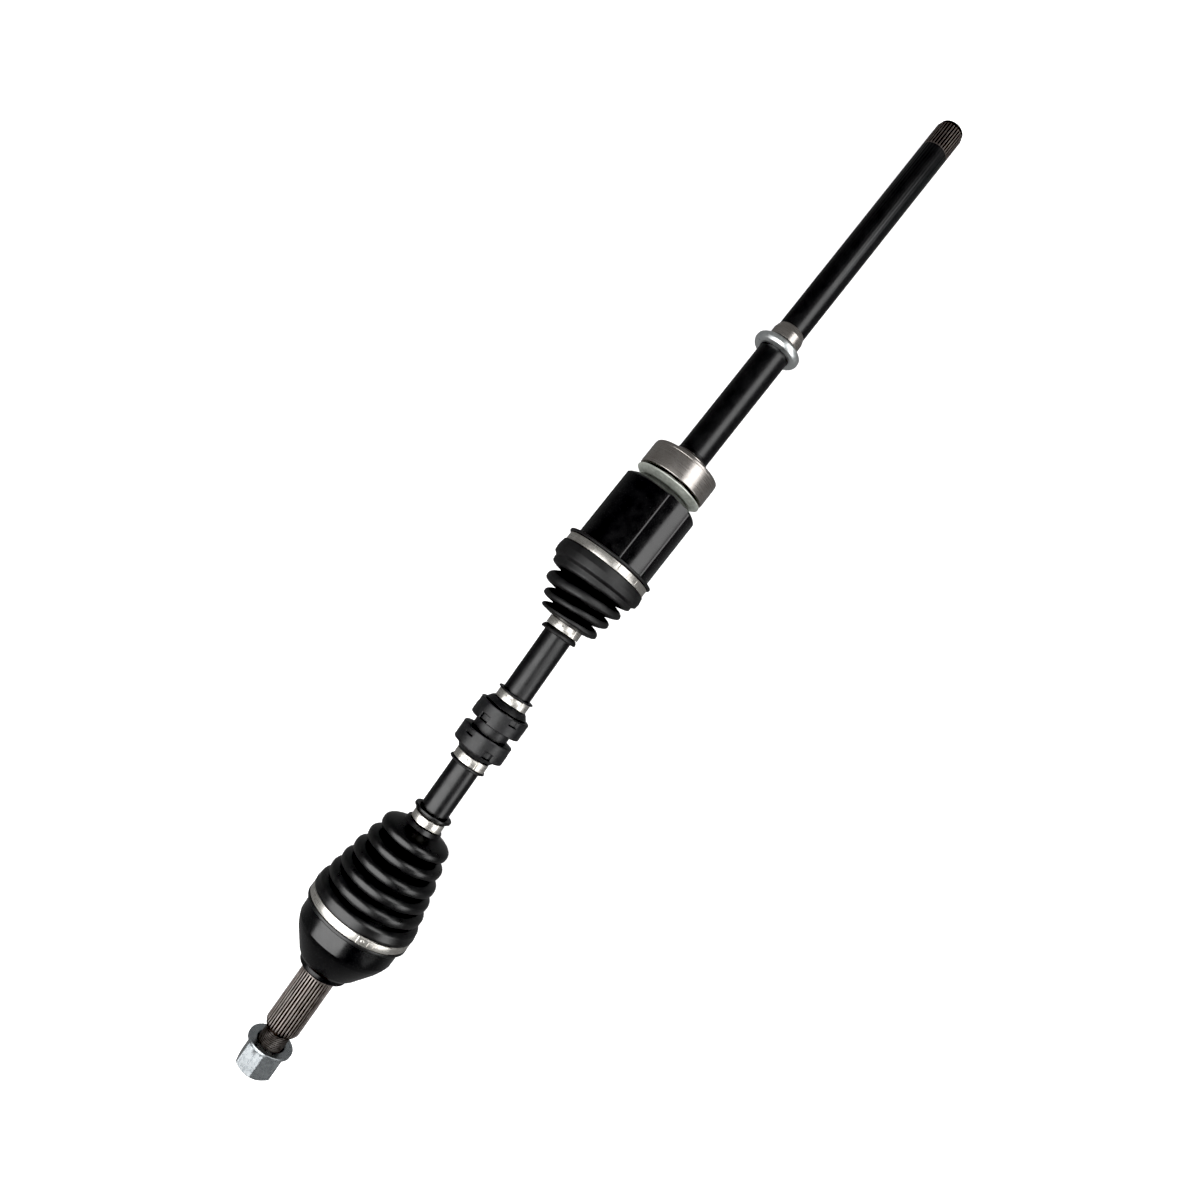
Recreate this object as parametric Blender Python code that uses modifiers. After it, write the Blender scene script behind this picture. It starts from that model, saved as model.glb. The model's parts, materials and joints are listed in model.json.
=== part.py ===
"""Front drive axle with two constant velocity joints and a support bearing.

The axle lies on the floor: +X runs from the wheel end to the gearbox end and +Z is up.
Two straight lines carry every piece. The bar line runs through the outer joint, the bar
and the spider; the shaft line runs through the tripod housing, the support bearing and
the intermediate shaft. They cross at the tripod centre, where the inner joint is bent.
Along both lines, distances are counted from the tripod centre, positive to the gearbox.
"""
import math

import bmesh
import bpy
from mathutils import Matrix, Vector

MM = 0.001
GAP = 0.3 * MM
SIDES = 24
SMALL_SIDES = 16

# How the axle lies: yaw and pitch of the two lines
BAR_YAW = math.radians(1.12)
BAR_PITCH = math.radians(0.82)
SHAFT_YAW = math.radians(-2.03)
SHAFT_PITCH = math.radians(3.54)

# Outer joint
OUTER_CENTRE = -375.5 * MM
BALL_COUNT = 6
BALL_RADIUS = 7.8 * MM
BALL_CIRCLE = 28.5 * MM
GROOVE_RADIUS = 10.2 * MM
CAVITY_RADIUS = 32.8 * MM
CAGE_OUTSIDE = 32.3 * MM
CAGE_INSIDE = 27.8 * MM
CAGE_HALF_WIDTH = 13.0 * MM
RACE_RADIUS = 27.2 * MM
RACE_HALF_WIDTH = 11.0 * MM
BELL_RADIUS = 42.3 * MM
BELL_MOUTH = 20.0 * MM
MOUTH_RADIUS = 37.0 * MM
CAVITY_DEPTH = 27.0 * MM
SHOULDER = -415.5 * MM
SPLINE_RADIUS = 14.8 * MM
SPLINE_END = -470.8 * MM
THREAD_RADIUS = 11.0 * MM
STUB_END = -504.0 * MM

# Axle nut
NUT_FLAT = 15.0 * MM
NUT_FACE = -508.0 * MM
NUT_SEAT = -484.0 * MM
NUT_FLANGE_RADIUS = 19.3 * MM
NUT_FLANGE = 2.6 * MM

# Bar, between the two joints
BAR_RADIUS = 12.5 * MM
BAR_NECK_RADIUS = 11.5 * MM
SEAT_GROOVE_RADIUS = 10.6 * MM
SEAT_GROOVE_EDGE = 1.5 * MM
BAR_START = OUTER_CENTRE - 13.5 * MM
BAR_END = 13.0 * MM
BORE_RADIUS = BAR_RADIUS + GAP
CLIP_RADIUS = 13.6 * MM

# Boot clamps: band centre, width and outer radius
CLAMP_THICKNESS = 0.8 * MM
OUTER_LARGE_CLAMP = (-361.4 * MM, 6.4 * MM, 45.7 * MM)
OUTER_SMALL_CLAMP = (-272.2 * MM, 6.8 * MM, 13.7 * MM)
DAMPER_CLAMPS = {
    "outboard": (-213.2 * MM, 7.0 * MM, 14.7 * MM),
    "inboard": (-155.4 * MM, 6.8 * MM, 14.3 * MM),
}
INNER_SMALL_CLAMP = (-84.4 * MM, 6.8 * MM, 14.6 * MM)
INNER_LARGE_CLAMP = (-23.3 * MM, 6.6 * MM, 39.0 * MM)

# Damper masses
MASS_RADIUS = 22.7 * MM
MASS_BORE = 16.2 * MM
MASSES = {"outboard": (-204.4 * MM, -188.6 * MM), "inboard": (-180.6 * MM, -165.0 * MM)}

# Tripod joint
TRACKS = 3
FIRST_TRACK = math.radians(60.0)
HOUSING_RADIUS = 35.6 * MM
HOUSING_MOUTH = -27.0 * MM
HOUSING_END = 52.9 * MM
TRACK_END = 45.0 * MM
TRACK_HALF_WIDTH = 15.9 * MM
TRACK_OUTSIDE = 28.4 * MM
TRUNNION_RADIUS = 8.0 * MM
TRUNNION_LENGTH = 26.2 * MM
ROLLER_RADIUS = 14.9 * MM
ROLLER_BORE = 10.9 * MM
ROLLER_WIDTH = 9.6 * MM
ROLLER_CIRCLE = 19.6 * MM
NEEDLE_OUTSIDE = ROLLER_BORE - GAP
RECESS_HALF_ANGLE = math.radians(20.5)
RECESS_DEPTH = 2.6 * MM
RECESS_START = -16.4 * MM
RECESS_END = 49.5 * MM

# Intermediate shaft and support bearing
SHAFT_RADIUS = 13.9 * MM
SHAFT_SOCKET = 46.6 * MM
BEARING_SEAT_RADIUS = 17.2 * MM
BEARING_START = 62.1 * MM
BEARING_END = 83.9 * MM
BEARING_OUTSIDE = 31.0 * MM
OUTER_RING_BORE = 27.4 * MM
INNER_RING_OUTSIDE = 21.2 * MM
BEARING_BALLS = 10
BEARING_BALL_RADIUS = 3.6 * MM
BEARING_BALL_CIRCLE = 24.3 * MM
DEFLECTOR_RADIUS = 21.4 * MM
SEAL_SEAT_RADIUS = 14.0 * MM
TIP_RADIUS = 12.4 * MM
TIP_END = 456.5 * MM

BLACK_PAINT = ("black_paint", (0.012, 0.012, 0.013), 0.28, 0.0)
BOOT_RUBBER = ("boot_rubber", (0.018, 0.018, 0.018), 0.50, 0.0)
DAMPER_RUBBER = ("damper_rubber", (0.030, 0.031, 0.032), 0.60, 0.0)
CLAMP_STEEL = ("clamp_steel", (0.62, 0.60, 0.56), 0.30, 1.0)
GROUND_STEEL = ("ground_steel", (0.56, 0.53, 0.49), 0.25, 1.0)
ZINC = ("zinc_plate", (0.58, 0.60, 0.60), 0.38, 1.0)
OLIVE_ZINC = ("olive_zinc", (0.30, 0.31, 0.27), 0.45, 1.0)
OILED_STEEL = ("oiled_steel", (0.20, 0.17, 0.15), 0.40, 1.0)

parts = None
cutters = None


def collection(name):
    made = bpy.data.collections.new(name)
    bpy.context.scene.collection.children.link(made)
    return made


def empty(name, parent=None, location=(0, 0, 0), rotation=(0, 0, 0)):
    made = bpy.data.objects.new(name, None)
    made.location = location
    made.rotation_euler = rotation
    made.parent = parent
    parts.objects.link(made)
    return made


def material(look):
    name, colour, roughness, metallic = look
    made = bpy.data.materials.get(name)
    if made is None:
        made = bpy.data.materials.new(name)
        made.use_nodes = True
        shader = made.node_tree.nodes["Principled BSDF"]
        shader.inputs["Base Color"].default_value = (*colour, 1.0)
        shader.inputs["Roughness"].default_value = roughness
        shader.inputs["Metallic"].default_value = metallic
    return made


def add_part(name, mesh, parent, look, smooth=True):
    made = bpy.data.objects.new(name, mesh)
    made.parent = parent
    parts.objects.link(made)
    mesh.materials.append(material(look))
    if smooth:
        mesh.shade_smooth()
        mesh.set_sharp_from_angle(angle=math.radians(30))
    return made


def add_cutter(name, mesh, parent):
    made = bpy.data.objects.new(name, mesh)
    made.parent = parent
    made.hide_render = True
    made.display_type = "WIRE"
    cutters.objects.link(made)
    return made


def boolean(target, tool, operation="DIFFERENCE"):
    step = target.modifiers.new(tool.name, "BOOLEAN")
    step.object = tool
    step.operation = operation
    step.solver = "EXACT"


# Turned shapes: a profile lists (distance along the line, radius)

def signed_area(profile):
    """Positive when the profile, closed along the axis, runs anticlockwise."""
    following = profile[1:] + profile[:1]
    return 0.5 * sum(a[0] * b[1] - b[0] * a[1] for a, b in zip(profile, following))


def profile_mesh(name, profile, closed):
    """An edge loop in the XZ plane, running anticlockwise so that its turned faces point out."""
    ordered = list(profile) if signed_area(profile) > 0 else list(reversed(profile))
    mesh = bpy.data.meshes.new(name)
    form = bmesh.new()
    corners = [form.verts.new((x, 0.0, r)) for x, r in ordered]
    for a, b in zip(corners, corners[1:]):
        form.edges.new((a, b))
    if closed:
        form.edges.new((corners[-1], corners[0]))
    form.to_mesh(mesh)
    form.free()
    return mesh


def add_screw(made, sides):
    turn = made.modifiers.new("turn", "SCREW")
    turn.axis = "X"
    turn.angle = math.tau
    turn.steps = sides
    turn.render_steps = sides
    turn.use_merge_vertices = True
    turn.merge_threshold = 1e-5
    turn.use_smooth_shade = True
    return made


def turned(name, profile, parent, look, sides=SIDES):
    """A turned piece: a ring when the profile stays off the axis, or else a solid."""
    closed = min(r for _, r in profile) > 0
    mesh = profile_mesh(name, profile, closed)
    return add_screw(add_part(name, mesh, parent, look, smooth=False), sides)


def turned_cutter(name, profile, parent, sides=SIDES):
    """A turned shape for a Boolean step."""
    closed = min(r for _, r in profile) > 0
    return add_screw(add_cutter(name, profile_mesh(name, profile, closed), parent), sides)


def ring(name, start, end, inside, outside, parent, look, sides=SIDES):
    """A plain ring of rectangular section."""
    profile = [(start, inside), (start, outside), (end, outside), (end, inside)]
    return turned(name, profile, parent, look, sides)


def clamp(name, place, parent, sides=SIDES):
    centre, width, outside = place
    start, end = centre - width / 2, centre + width / 2
    return ring(name, start, end, outside - CLAMP_THICKNESS, outside, parent, CLAMP_STEEL, sides)


def arc(centre, radius, start, end, count):
    """Profile points on a circle about (centre, 0), angles counted from the radial direction."""
    angles = [start + (end - start) * i / (count - 1) for i in range(count)]
    return [(centre + radius * math.sin(a), radius * math.cos(a)) for a in angles]


def frozen(made, name):
    """The evaluated mesh of an object that carries modifiers, as a mesh of its own."""
    bpy.context.view_layer.update()
    graph = bpy.context.evaluated_depsgraph_get()
    mesh = bpy.data.meshes.new_from_object(made.evaluated_get(graph))
    mesh.name = name
    return mesh


# Cutter and primitive meshes

def cylinder_mesh(name, radius, length, sides, place=Matrix()):
    """A cylinder along local Z, centred, then placed."""
    mesh = bpy.data.meshes.new(name)
    form = bmesh.new()
    bmesh.ops.create_cone(form, cap_ends=True, segments=sides, radius1=radius, radius2=radius,
                          depth=length, matrix=place)
    form.to_mesh(mesh)
    form.free()
    return mesh


def box_mesh(name, low, high):
    mesh = bpy.data.meshes.new(name)
    form = bmesh.new()
    size = Vector(high) - Vector(low)
    middle = (Vector(high) + Vector(low)) / 2
    place = Matrix.Translation(middle) @ Matrix.Diagonal((*size, 1.0))
    bmesh.ops.create_cube(form, size=1.0, matrix=place)
    form.to_mesh(mesh)
    form.free()
    return mesh


def ball_mesh(name, radius, around=12, rows=8):
    mesh = bpy.data.meshes.new(name)
    form = bmesh.new()
    bmesh.ops.create_uvsphere(form, u_segments=around, v_segments=rows, radius=radius)
    form.to_mesh(mesh)
    form.free()
    return mesh


def groove_mesh(name, start, end, steps=8, sides=12):
    """A round bar swept along the ball circle in the XZ plane, from one angle to another."""
    mesh = bpy.data.meshes.new(name)
    form = bmesh.new()
    lean = Matrix.Rotation(start, 4, "Y")
    place = lean @ Matrix.Translation((0, 0, BALL_CIRCLE)) @ Matrix.Rotation(math.pi / 2, 4, "Y")
    disc = bmesh.ops.create_circle(form, cap_ends=True, segments=sides, radius=GROOVE_RADIUS, matrix=place)
    faces = list({face for corner in disc["verts"] for face in corner.link_faces})
    bmesh.ops.spin(form, geom=faces + disc["verts"], cent=(0, 0, 0), axis=(0, 1, 0),
                   angle=end - start, steps=steps, use_merge=False, use_duplicate=False)
    bmesh.ops.recalc_face_normals(form, faces=form.faces)
    form.to_mesh(mesh)
    form.free()
    return mesh


def about_axis(angle):
    """Turns a shape from +Z towards its own place about the line."""
    return Matrix.Rotation(angle, 4, "X")


# Outer joint

def make_outer_housing(line):
    """Bell with its six ball grooves, the splined stub and the thread, in one forging."""
    centre = OUTER_CENTRE
    floor_angle = -math.asin(CAVITY_DEPTH / CAVITY_RADIUS)
    outside = [
        (STUB_END, 0.0), (STUB_END, THREAD_RADIUS - 1.2 * MM), (STUB_END + 1.2 * MM, THREAD_RADIUS),
        (SPLINE_END, THREAD_RADIUS), (SPLINE_END + 0.2 * MM, SPLINE_RADIUS - 2.4 * MM),
        (SPLINE_END + 3.0 * MM, SPLINE_RADIUS), (SHOULDER - 2.4 * MM, SPLINE_RADIUS),
        (SHOULDER - 2.0 * MM, SPLINE_RADIUS + 0.6 * MM), (SHOULDER, SPLINE_RADIUS + 0.6 * MM),
        (SHOULDER, 21.0 * MM), (SHOULDER + 0.8 * MM, 23.0 * MM), (SHOULDER + 3.6 * MM, 25.2 * MM),
        (SHOULDER + 8.2 * MM, 27.4 * MM), (SHOULDER + 24.0 * MM, 37.8 * MM),
        (SHOULDER + 29.2 * MM, 40.6 * MM), (SHOULDER + 33.6 * MM, 42.0 * MM),
        (SHOULDER + 39.5 * MM, BELL_RADIUS), (centre + BELL_MOUTH, BELL_RADIUS),
    ]
    inside = [(centre + BELL_MOUTH, MOUTH_RADIUS), (centre + 7.0 * MM, 32.1 * MM)]
    inside += arc(centre, CAVITY_RADIUS, math.radians(6), floor_angle, 7)
    inside += [(centre - CAVITY_DEPTH, 0.0)]
    bell = turned("outer_joint_housing", outside + inside, line, BLACK_PAINT)
    for index in range(BALL_COUNT):
        mesh = groove_mesh(f"bell_groove_{index + 1}", math.radians(-44), math.radians(64))
        groove = add_cutter(mesh.name, mesh, line)
        groove.matrix_local = Matrix.Translation((centre, 0, 0)) @ about_axis(index * math.tau / BALL_COUNT)
        boolean(bell, groove)
    return bell


def make_inner_race(line):
    edge = math.asin(RACE_HALF_WIDTH / RACE_RADIUS)
    centre = OUTER_CENTRE
    bore = BAR_NECK_RADIUS + GAP
    profile = [(centre - RACE_HALF_WIDTH, bore)] + arc(centre, RACE_RADIUS, -edge, edge, 7)
    profile += [(centre + RACE_HALF_WIDTH, bore)]
    race = turned("outer_inner_race", profile, line, GROUND_STEEL)
    for index in range(BALL_COUNT):
        mesh = groove_mesh(f"race_groove_{index + 1}", math.radians(-50), math.radians(50))
        groove = add_cutter(mesh.name, mesh, line)
        groove.matrix_local = Matrix.Translation((centre, 0, 0)) @ about_axis(index * math.tau / BALL_COUNT)
        boolean(race, groove)
    return race


def make_cage(joint):
    """Spherical ring with one window for each ball; its origin is the joint centre."""
    outer_edge = math.asin(CAGE_HALF_WIDTH / CAGE_OUTSIDE)
    inner_edge = math.asin(CAGE_HALF_WIDTH / CAGE_INSIDE)
    profile = arc(0, CAGE_OUTSIDE, -outer_edge, outer_edge, 7)
    profile += arc(0, CAGE_INSIDE, inner_edge, -inner_edge, 5)
    cage = turned("outer_cage", profile, joint, GROUND_STEEL)
    window_radius = BALL_RADIUS + 0.8 * MM
    for index in range(BALL_COUNT):
        place = about_axis(index * math.tau / BALL_COUNT) @ Matrix.Translation((0, 0, BALL_CIRCLE))
        window = cylinder_mesh(f"cage_window_{index + 1}", window_radius, 20 * MM, 16)
        tool = add_cutter(window.name, window, joint)
        tool.matrix_local = place
        boolean(cage, tool)
        ball = add_part(f"outer_ball_{index + 1}", ball_mesh("outer_ball", BALL_RADIUS), joint, GROUND_STEEL)
        ball.matrix_local = place


def make_nut(line):
    """Flanged hexagon nut with a deep collar."""
    flange = NUT_SEAT - NUT_FLANGE
    place = Matrix.Translation(((NUT_FACE + flange) / 2, 0, 0)) @ Matrix.Rotation(math.pi / 2, 4, "Y")
    corner = NUT_FLAT / math.cos(math.pi / 6)
    prism = cylinder_mesh("axle_nut", corner, flange - NUT_FACE + 0.4 * MM, 6, place)
    hexagon = add_part("axle_nut", prism, line, ZINC, smooth=False)
    skirt = [(flange - 1.6 * MM, 13.0 * MM), (flange, NUT_FLANGE_RADIUS - 0.4 * MM),
             (flange, NUT_FLANGE_RADIUS),
             (NUT_SEAT, NUT_FLANGE_RADIUS), (NUT_SEAT, 11.8 * MM), (flange - 1.6 * MM, 11.8 * MM)]
    boolean(hexagon, turned_cutter("nut_flange", skirt, line), "UNION")
    chamfer = [(NUT_FACE - 1 * MM, 15.0 * MM), (NUT_FACE + 2.6 * MM, 20.0 * MM),
               (NUT_FACE - 1 * MM, 20.0 * MM)]
    boolean(hexagon, turned_cutter("nut_chamfer", chamfer, line))
    bore_radius = THREAD_RADIUS + GAP
    bore = [(NUT_FACE - 2 * MM, 0.0), (NUT_FACE - 2 * MM, bore_radius), (NUT_SEAT - 1.4 * MM, bore_radius),
            (NUT_SEAT + 0.2 * MM, bore_radius + 1.6 * MM), (NUT_SEAT + 1 * MM, 0.0)]
    boolean(hexagon, turned_cutter("nut_bore", bore, line))
    hexagon.rotation_euler = (math.radians(8), 0, 0)
    return hexagon


# Boots: an outer profile, thinned inwards to a wall

def boot_profile(outside, wall, first_bore, last_bore):
    """Closes an outer profile with an inner one: a bore at each end, an even wall between."""
    start, end = first_bore[-1][0], last_bore[0][0]
    inside = [(x, r - wall) for x, r in outside if start <= x <= end]
    return outside + list(reversed(first_bore + inside + last_bore))


def small_end_bore(place, start, end):
    """Bore of a boot's small end, which the clamp presses into the groove of the bar."""
    centre, width, _ = place
    half = width / 2 + SEAT_GROOVE_EDGE - GAP
    grip = SEAT_GROOVE_RADIUS + GAP
    return [(start, BORE_RADIUS), (centre - half, BORE_RADIUS), (centre - half, grip),
            (centre + half, grip), (centre + half, BORE_RADIUS), (end, BORE_RADIUS)]


def convolutions(crests, valleys):
    """Crests and valleys in turn, from the first crest to the last."""
    points = [point for pair in zip(crests, valleys) for point in pair]
    return points + crests[len(valleys):]


OUTER_BOOT_CRESTS = [(-352.4, 45.4), (-341.0, 42.8), (-329.2, 40.2),
                     (-316.7, 37.6), (-302.7, 34.0), (-289.1, 30.5)]
OUTER_BOOT_VALLEYS = [(-346.7, 40.6), (-335.1, 37.6), (-323.0, 34.2), (-309.7, 29.6), (-295.9, 24.6)]
INNER_BOOT_CRESTS = [(-76.6, 26.3), (-65.5, 29.9), (-54.5, 34.6)]
INNER_BOOT_VALLEYS = [(-71.2, 17.4), (-60.0, 22.2), (-47.2, 25.8)]


def millimetres(points):
    return [(x * MM, r * MM) for x, r in points]


def make_outer_boot(line):
    large, small = OUTER_LARGE_CLAMP, OUTER_SMALL_CLAMP
    large_seat = large[2] - CLAMP_THICKNESS - GAP
    small_seat = small[2] - CLAMP_THICKNESS - GAP
    large_edge = large[1] / 2 + GAP
    small_edge = small[1] / 2 + GAP
    outside = [
        (-367.7 * MM, 45.8 * MM), (large[0] - large_edge, 45.8 * MM), (large[0] - large_edge, large_seat),
        (large[0] + large_edge, large_seat), (large[0] + large_edge, 45.8 * MM),
    ]
    outside += convolutions(millimetres(OUTER_BOOT_CRESTS), millimetres(OUTER_BOOT_VALLEYS))
    outside += millimetres([(-283.7, 24.5), (-279.6, 16.9)])
    outside += [(small[0] - small_edge, 15.6 * MM), (small[0] - small_edge, small_seat),
                (small[0] + small_edge, small_seat), (-267.9 * MM, 14.6 * MM), (-265.9 * MM, 16.8 * MM),
                (-263.7 * MM, 16.8 * MM)]
    on_bell = [(outside[0][0], BELL_RADIUS + GAP), (-355.1 * MM, BELL_RADIUS + GAP)]
    on_bar = small_end_bore(small, -279.2 * MM, outside[-1][0])
    return turned("outer_boot", boot_profile(outside, 2.0 * MM, on_bell, on_bar), line, BOOT_RUBBER)


def make_inner_boot(centre_empty):
    large, small = INNER_LARGE_CLAMP, INNER_SMALL_CLAMP
    large_seat = large[2] - CLAMP_THICKNESS - GAP
    small_seat = small[2] - CLAMP_THICKNESS - GAP
    large_edge = large[1] / 2 + GAP
    small_edge = small[1] / 2 + GAP
    outside = millimetres([(-92.8, 16.4), (-88.6, 16.4)])
    outside += [(small[0] - small_edge, small_seat), (small[0] + small_edge, small_seat),
                (small[0] + small_edge, 15.4 * MM)]
    outside += convolutions(millimetres(INNER_BOOT_CRESTS), millimetres(INNER_BOOT_VALLEYS))
    outside += millimetres([(-44.6, 35.0), (-42.6, 37.4), (-39.6, 37.4), (-37.8, 40.4), (-33.6, 40.9)])
    outside += [(large[0] - large_edge, 40.0 * MM), (large[0] - large_edge, large_seat),
                (large[0] + large_edge, large_seat), (large[0] + large_edge + 0.8 * MM, 40.6 * MM),
                (-17.0 * MM, 40.6 * MM)]
    on_bar = small_end_bore(small, outside[0][0], -79.2 * MM)
    on_housing = [(-31.0 * MM, HOUSING_RADIUS + GAP), (outside[-1][0], HOUSING_RADIUS + GAP)]
    profile = boot_profile(outside, 2.2 * MM, on_bar, on_housing)
    straight = add_screw(add_part("straight_boot", profile_mesh("straight_boot", profile, True),
                                  centre_empty, BOOT_RUBBER, smooth=False), SIDES)
    mesh = frozen(straight, "inner_boot")
    bpy.data.objects.remove(straight)
    bend_from_bar_to_shaft(mesh, -80.0 * MM, -32.0 * MM)
    return add_part("inner_boot", mesh, centre_empty, BOOT_RUBBER, smooth=False)


def line_turn(yaw, pitch):
    """Turns +X to a line's direction; a positive pitch lets the gearbox end drop."""
    return Matrix.Rotation(yaw, 4, "Z") @ Matrix.Rotation(pitch, 4, "Y")


def bend_from_bar_to_shaft(mesh, start, end):
    """Bends a mesh made on a straight line so that it leaves the bar line for the shaft line."""
    bar_turn = line_turn(BAR_YAW, BAR_PITCH).to_quaternion()
    shaft_turn = line_turn(SHAFT_YAW, SHAFT_PITCH).to_quaternion()
    for corner in mesh.vertices:
        share = min(max((corner.co.x - start) / (end - start), 0.0), 1.0)
        share = share * share * (3.0 - 2.0 * share)
        corner.co = bar_turn.slerp(shaft_turn, share) @ corner.co


# Bar and damper

def seat_groove(place):
    """The shallow groove that a boot's small end grips."""
    centre, width, _ = place
    half = width / 2 + SEAT_GROOVE_EDGE
    return [(centre - half, BAR_RADIUS), (centre - half, SEAT_GROOVE_RADIUS),
            (centre + half, SEAT_GROOVE_RADIUS), (centre + half, BAR_RADIUS)]


def make_bar(line):
    neck_end = OUTER_CENTRE + 42.0 * MM
    profile = [(BAR_START, 0.0), (BAR_START, BAR_NECK_RADIUS - 1.0 * MM),
               (BAR_START + 1.0 * MM, BAR_NECK_RADIUS),
               (neck_end, BAR_NECK_RADIUS), (neck_end + 4.0 * MM, BAR_RADIUS)]
    profile += seat_groove(OUTER_SMALL_CLAMP) + seat_groove(INNER_SMALL_CLAMP)
    profile += [(-54.0 * MM, BAR_RADIUS), (-48.0 * MM, BAR_NECK_RADIUS),
                (BAR_END - 1.0 * MM, BAR_NECK_RADIUS),
                (BAR_END, BAR_NECK_RADIUS - 1.0 * MM), (BAR_END, 0.0)]
    return turned("axle_bar", profile, line, BLACK_PAINT)


def make_damper(line):
    first, second = DAMPER_CLAMPS["outboard"], DAMPER_CLAMPS["inboard"]
    edge = first[1] / 2 + GAP
    other_edge = second[1] / 2 + GAP
    seat = first[2] - CLAMP_THICKNESS - GAP
    other_seat = second[2] - CLAMP_THICKNESS - GAP
    sleeve = MASS_BORE - GAP
    profile = [
        (-219.2 * MM, 16.1 * MM), (first[0] - edge, 16.1 * MM), (first[0] - edge, seat),
        (first[0] + edge, seat),
        (first[0] + edge, 14.9 * MM), (-205.0 * MM, 18.4 * MM), (-204.8 * MM, sleeve), (-164.6 * MM, sleeve),
        (-164.4 * MM, 19.4 * MM), (second[0] - other_edge, 14.6 * MM), (second[0] - other_edge, other_seat),
        (second[0] + other_edge, other_seat), (second[0] + other_edge, 16.1 * MM), (-150.0 * MM, 16.1 * MM),
        (-150.0 * MM, BORE_RADIUS), (-219.2 * MM, BORE_RADIUS),
    ]
    turned("damper_sleeve", profile, line, DAMPER_RUBBER)
    for side, (start, end) in MASSES.items():
        chamfer = 0.8 * MM
        shape = [(start, MASS_BORE), (start, MASS_RADIUS - chamfer), (start + chamfer, MASS_RADIUS),
                 (end - chamfer, MASS_RADIUS), (end, MASS_RADIUS - chamfer), (end, MASS_BORE)]
        turned(f"damper_mass_{side}", shape, line, DAMPER_RUBBER)
        clamp(f"damper_clamp_{side}", DAMPER_CLAMPS[side], line, SMALL_SIDES)


# Tripod joint

def track_angle(index):
    """Angle about the line, from +Y towards +Z, of one track and its trunnion."""
    return FIRST_TRACK + index * math.tau / TRACKS


def radial_place(angle, radius):
    """A frame whose +Z points away from the line at the given angle."""
    return about_axis(angle - math.pi / 2) @ Matrix.Translation((0, 0, radius))


def make_tripod_housing(line):
    cup = [
        (HOUSING_MOUTH, 0.0), (HOUSING_MOUTH, HOUSING_RADIUS - 0.8 * MM),
        (HOUSING_MOUTH + 0.8 * MM, HOUSING_RADIUS),
        (HOUSING_END - 7.2 * MM, HOUSING_RADIUS), (HOUSING_END - 4.6 * MM, HOUSING_RADIUS - 2.0 * MM),
        (HOUSING_END - 1.2 * MM, 27.2 * MM), (HOUSING_END, 25.6 * MM), (HOUSING_END, SHAFT_RADIUS + GAP),
        (SHAFT_SOCKET, SHAFT_RADIUS + GAP), (SHAFT_SOCKET, 0.0),
    ]
    housing = turned("tripod_housing", cup, line, BLACK_PAINT)
    length = TRACK_END - HOUSING_MOUTH + 4 * MM
    for index in range(TRACKS):
        low = (HOUSING_MOUTH - 4 * MM, -TRACK_HALF_WIDTH, -4.0 * MM)
        high = (HOUSING_MOUTH - 4 * MM + length, TRACK_HALF_WIDTH, TRACK_OUTSIDE)
        track = add_cutter(f"track_{index + 1}", box_mesh(f"track_{index + 1}", low, high), line)
        track.matrix_local = radial_place(track_angle(index), 0.0)
        boolean(housing, track)
    before = HOUSING_MOUTH - 1 * MM
    flare = [(before, 0.0), (before, 25.9 * MM), (2.0 * MM, 17.6 * MM), (2.0 * MM, 0.0)]
    boolean(housing, turned_cutter("mouth_flare", flare, line))
    edge = HOUSING_RADIUS * math.sin(RECESS_HALF_ANGLE)
    bottom = HOUSING_RADIUS * math.cos(RECESS_HALF_ANGLE) - RECESS_DEPTH
    radius = (edge ** 2 + RECESS_DEPTH ** 2) / (2 * RECESS_DEPTH)
    for index in range(TRACKS):
        middle = (RECESS_START + RECESS_END) / 2
        lie = Matrix.Translation((middle, 0, 0)) @ Matrix.Rotation(math.pi / 2, 4, "Y")
        mesh = cylinder_mesh(f"recess_{index + 1}", radius, RECESS_END - RECESS_START, 48, lie)
        tool = add_cutter(mesh.name, mesh, line)
        tool.matrix_local = radial_place(track_angle(index) + math.pi / TRACKS, bottom + radius)
        boolean(housing, tool)
    return housing


def make_spider(line):
    """Hub with three trunnions, one for each roller."""
    bore = BAR_NECK_RADIUS + GAP
    hub = [(-8.0 * MM, bore), (-8.0 * MM, 14.2 * MM), (-5.5 * MM, 15.6 * MM), (5.5 * MM, 15.6 * MM),
           (8.0 * MM, 14.2 * MM), (8.0 * MM, bore)]
    spider = turned("tripod_spider", hub, line, GROUND_STEEL, SMALL_SIDES)
    foot = bore + 0.8 * MM
    for index in range(TRACKS):
        middle = (foot + TRUNNION_LENGTH) / 2
        mesh = cylinder_mesh(f"trunnion_{index + 1}", TRUNNION_RADIUS, TRUNNION_LENGTH - foot, 16)
        tool = add_cutter(mesh.name, mesh, line)
        tool.matrix_local = radial_place(track_angle(index), middle)
        boolean(spider, tool, "UNION")
    return spider


def radial_ring_mesh(name, profile, sides=SMALL_SIDES):
    """A ring turned about local Z from (height, radius) points, as a plain mesh."""
    source = turned_cutter("ring_source", profile, None, sides)
    mesh = frozen(source, name)
    bpy.data.objects.remove(source)
    mesh.transform(Matrix.Rotation(-math.pi / 2, 4, "Y"))
    return mesh


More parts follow.
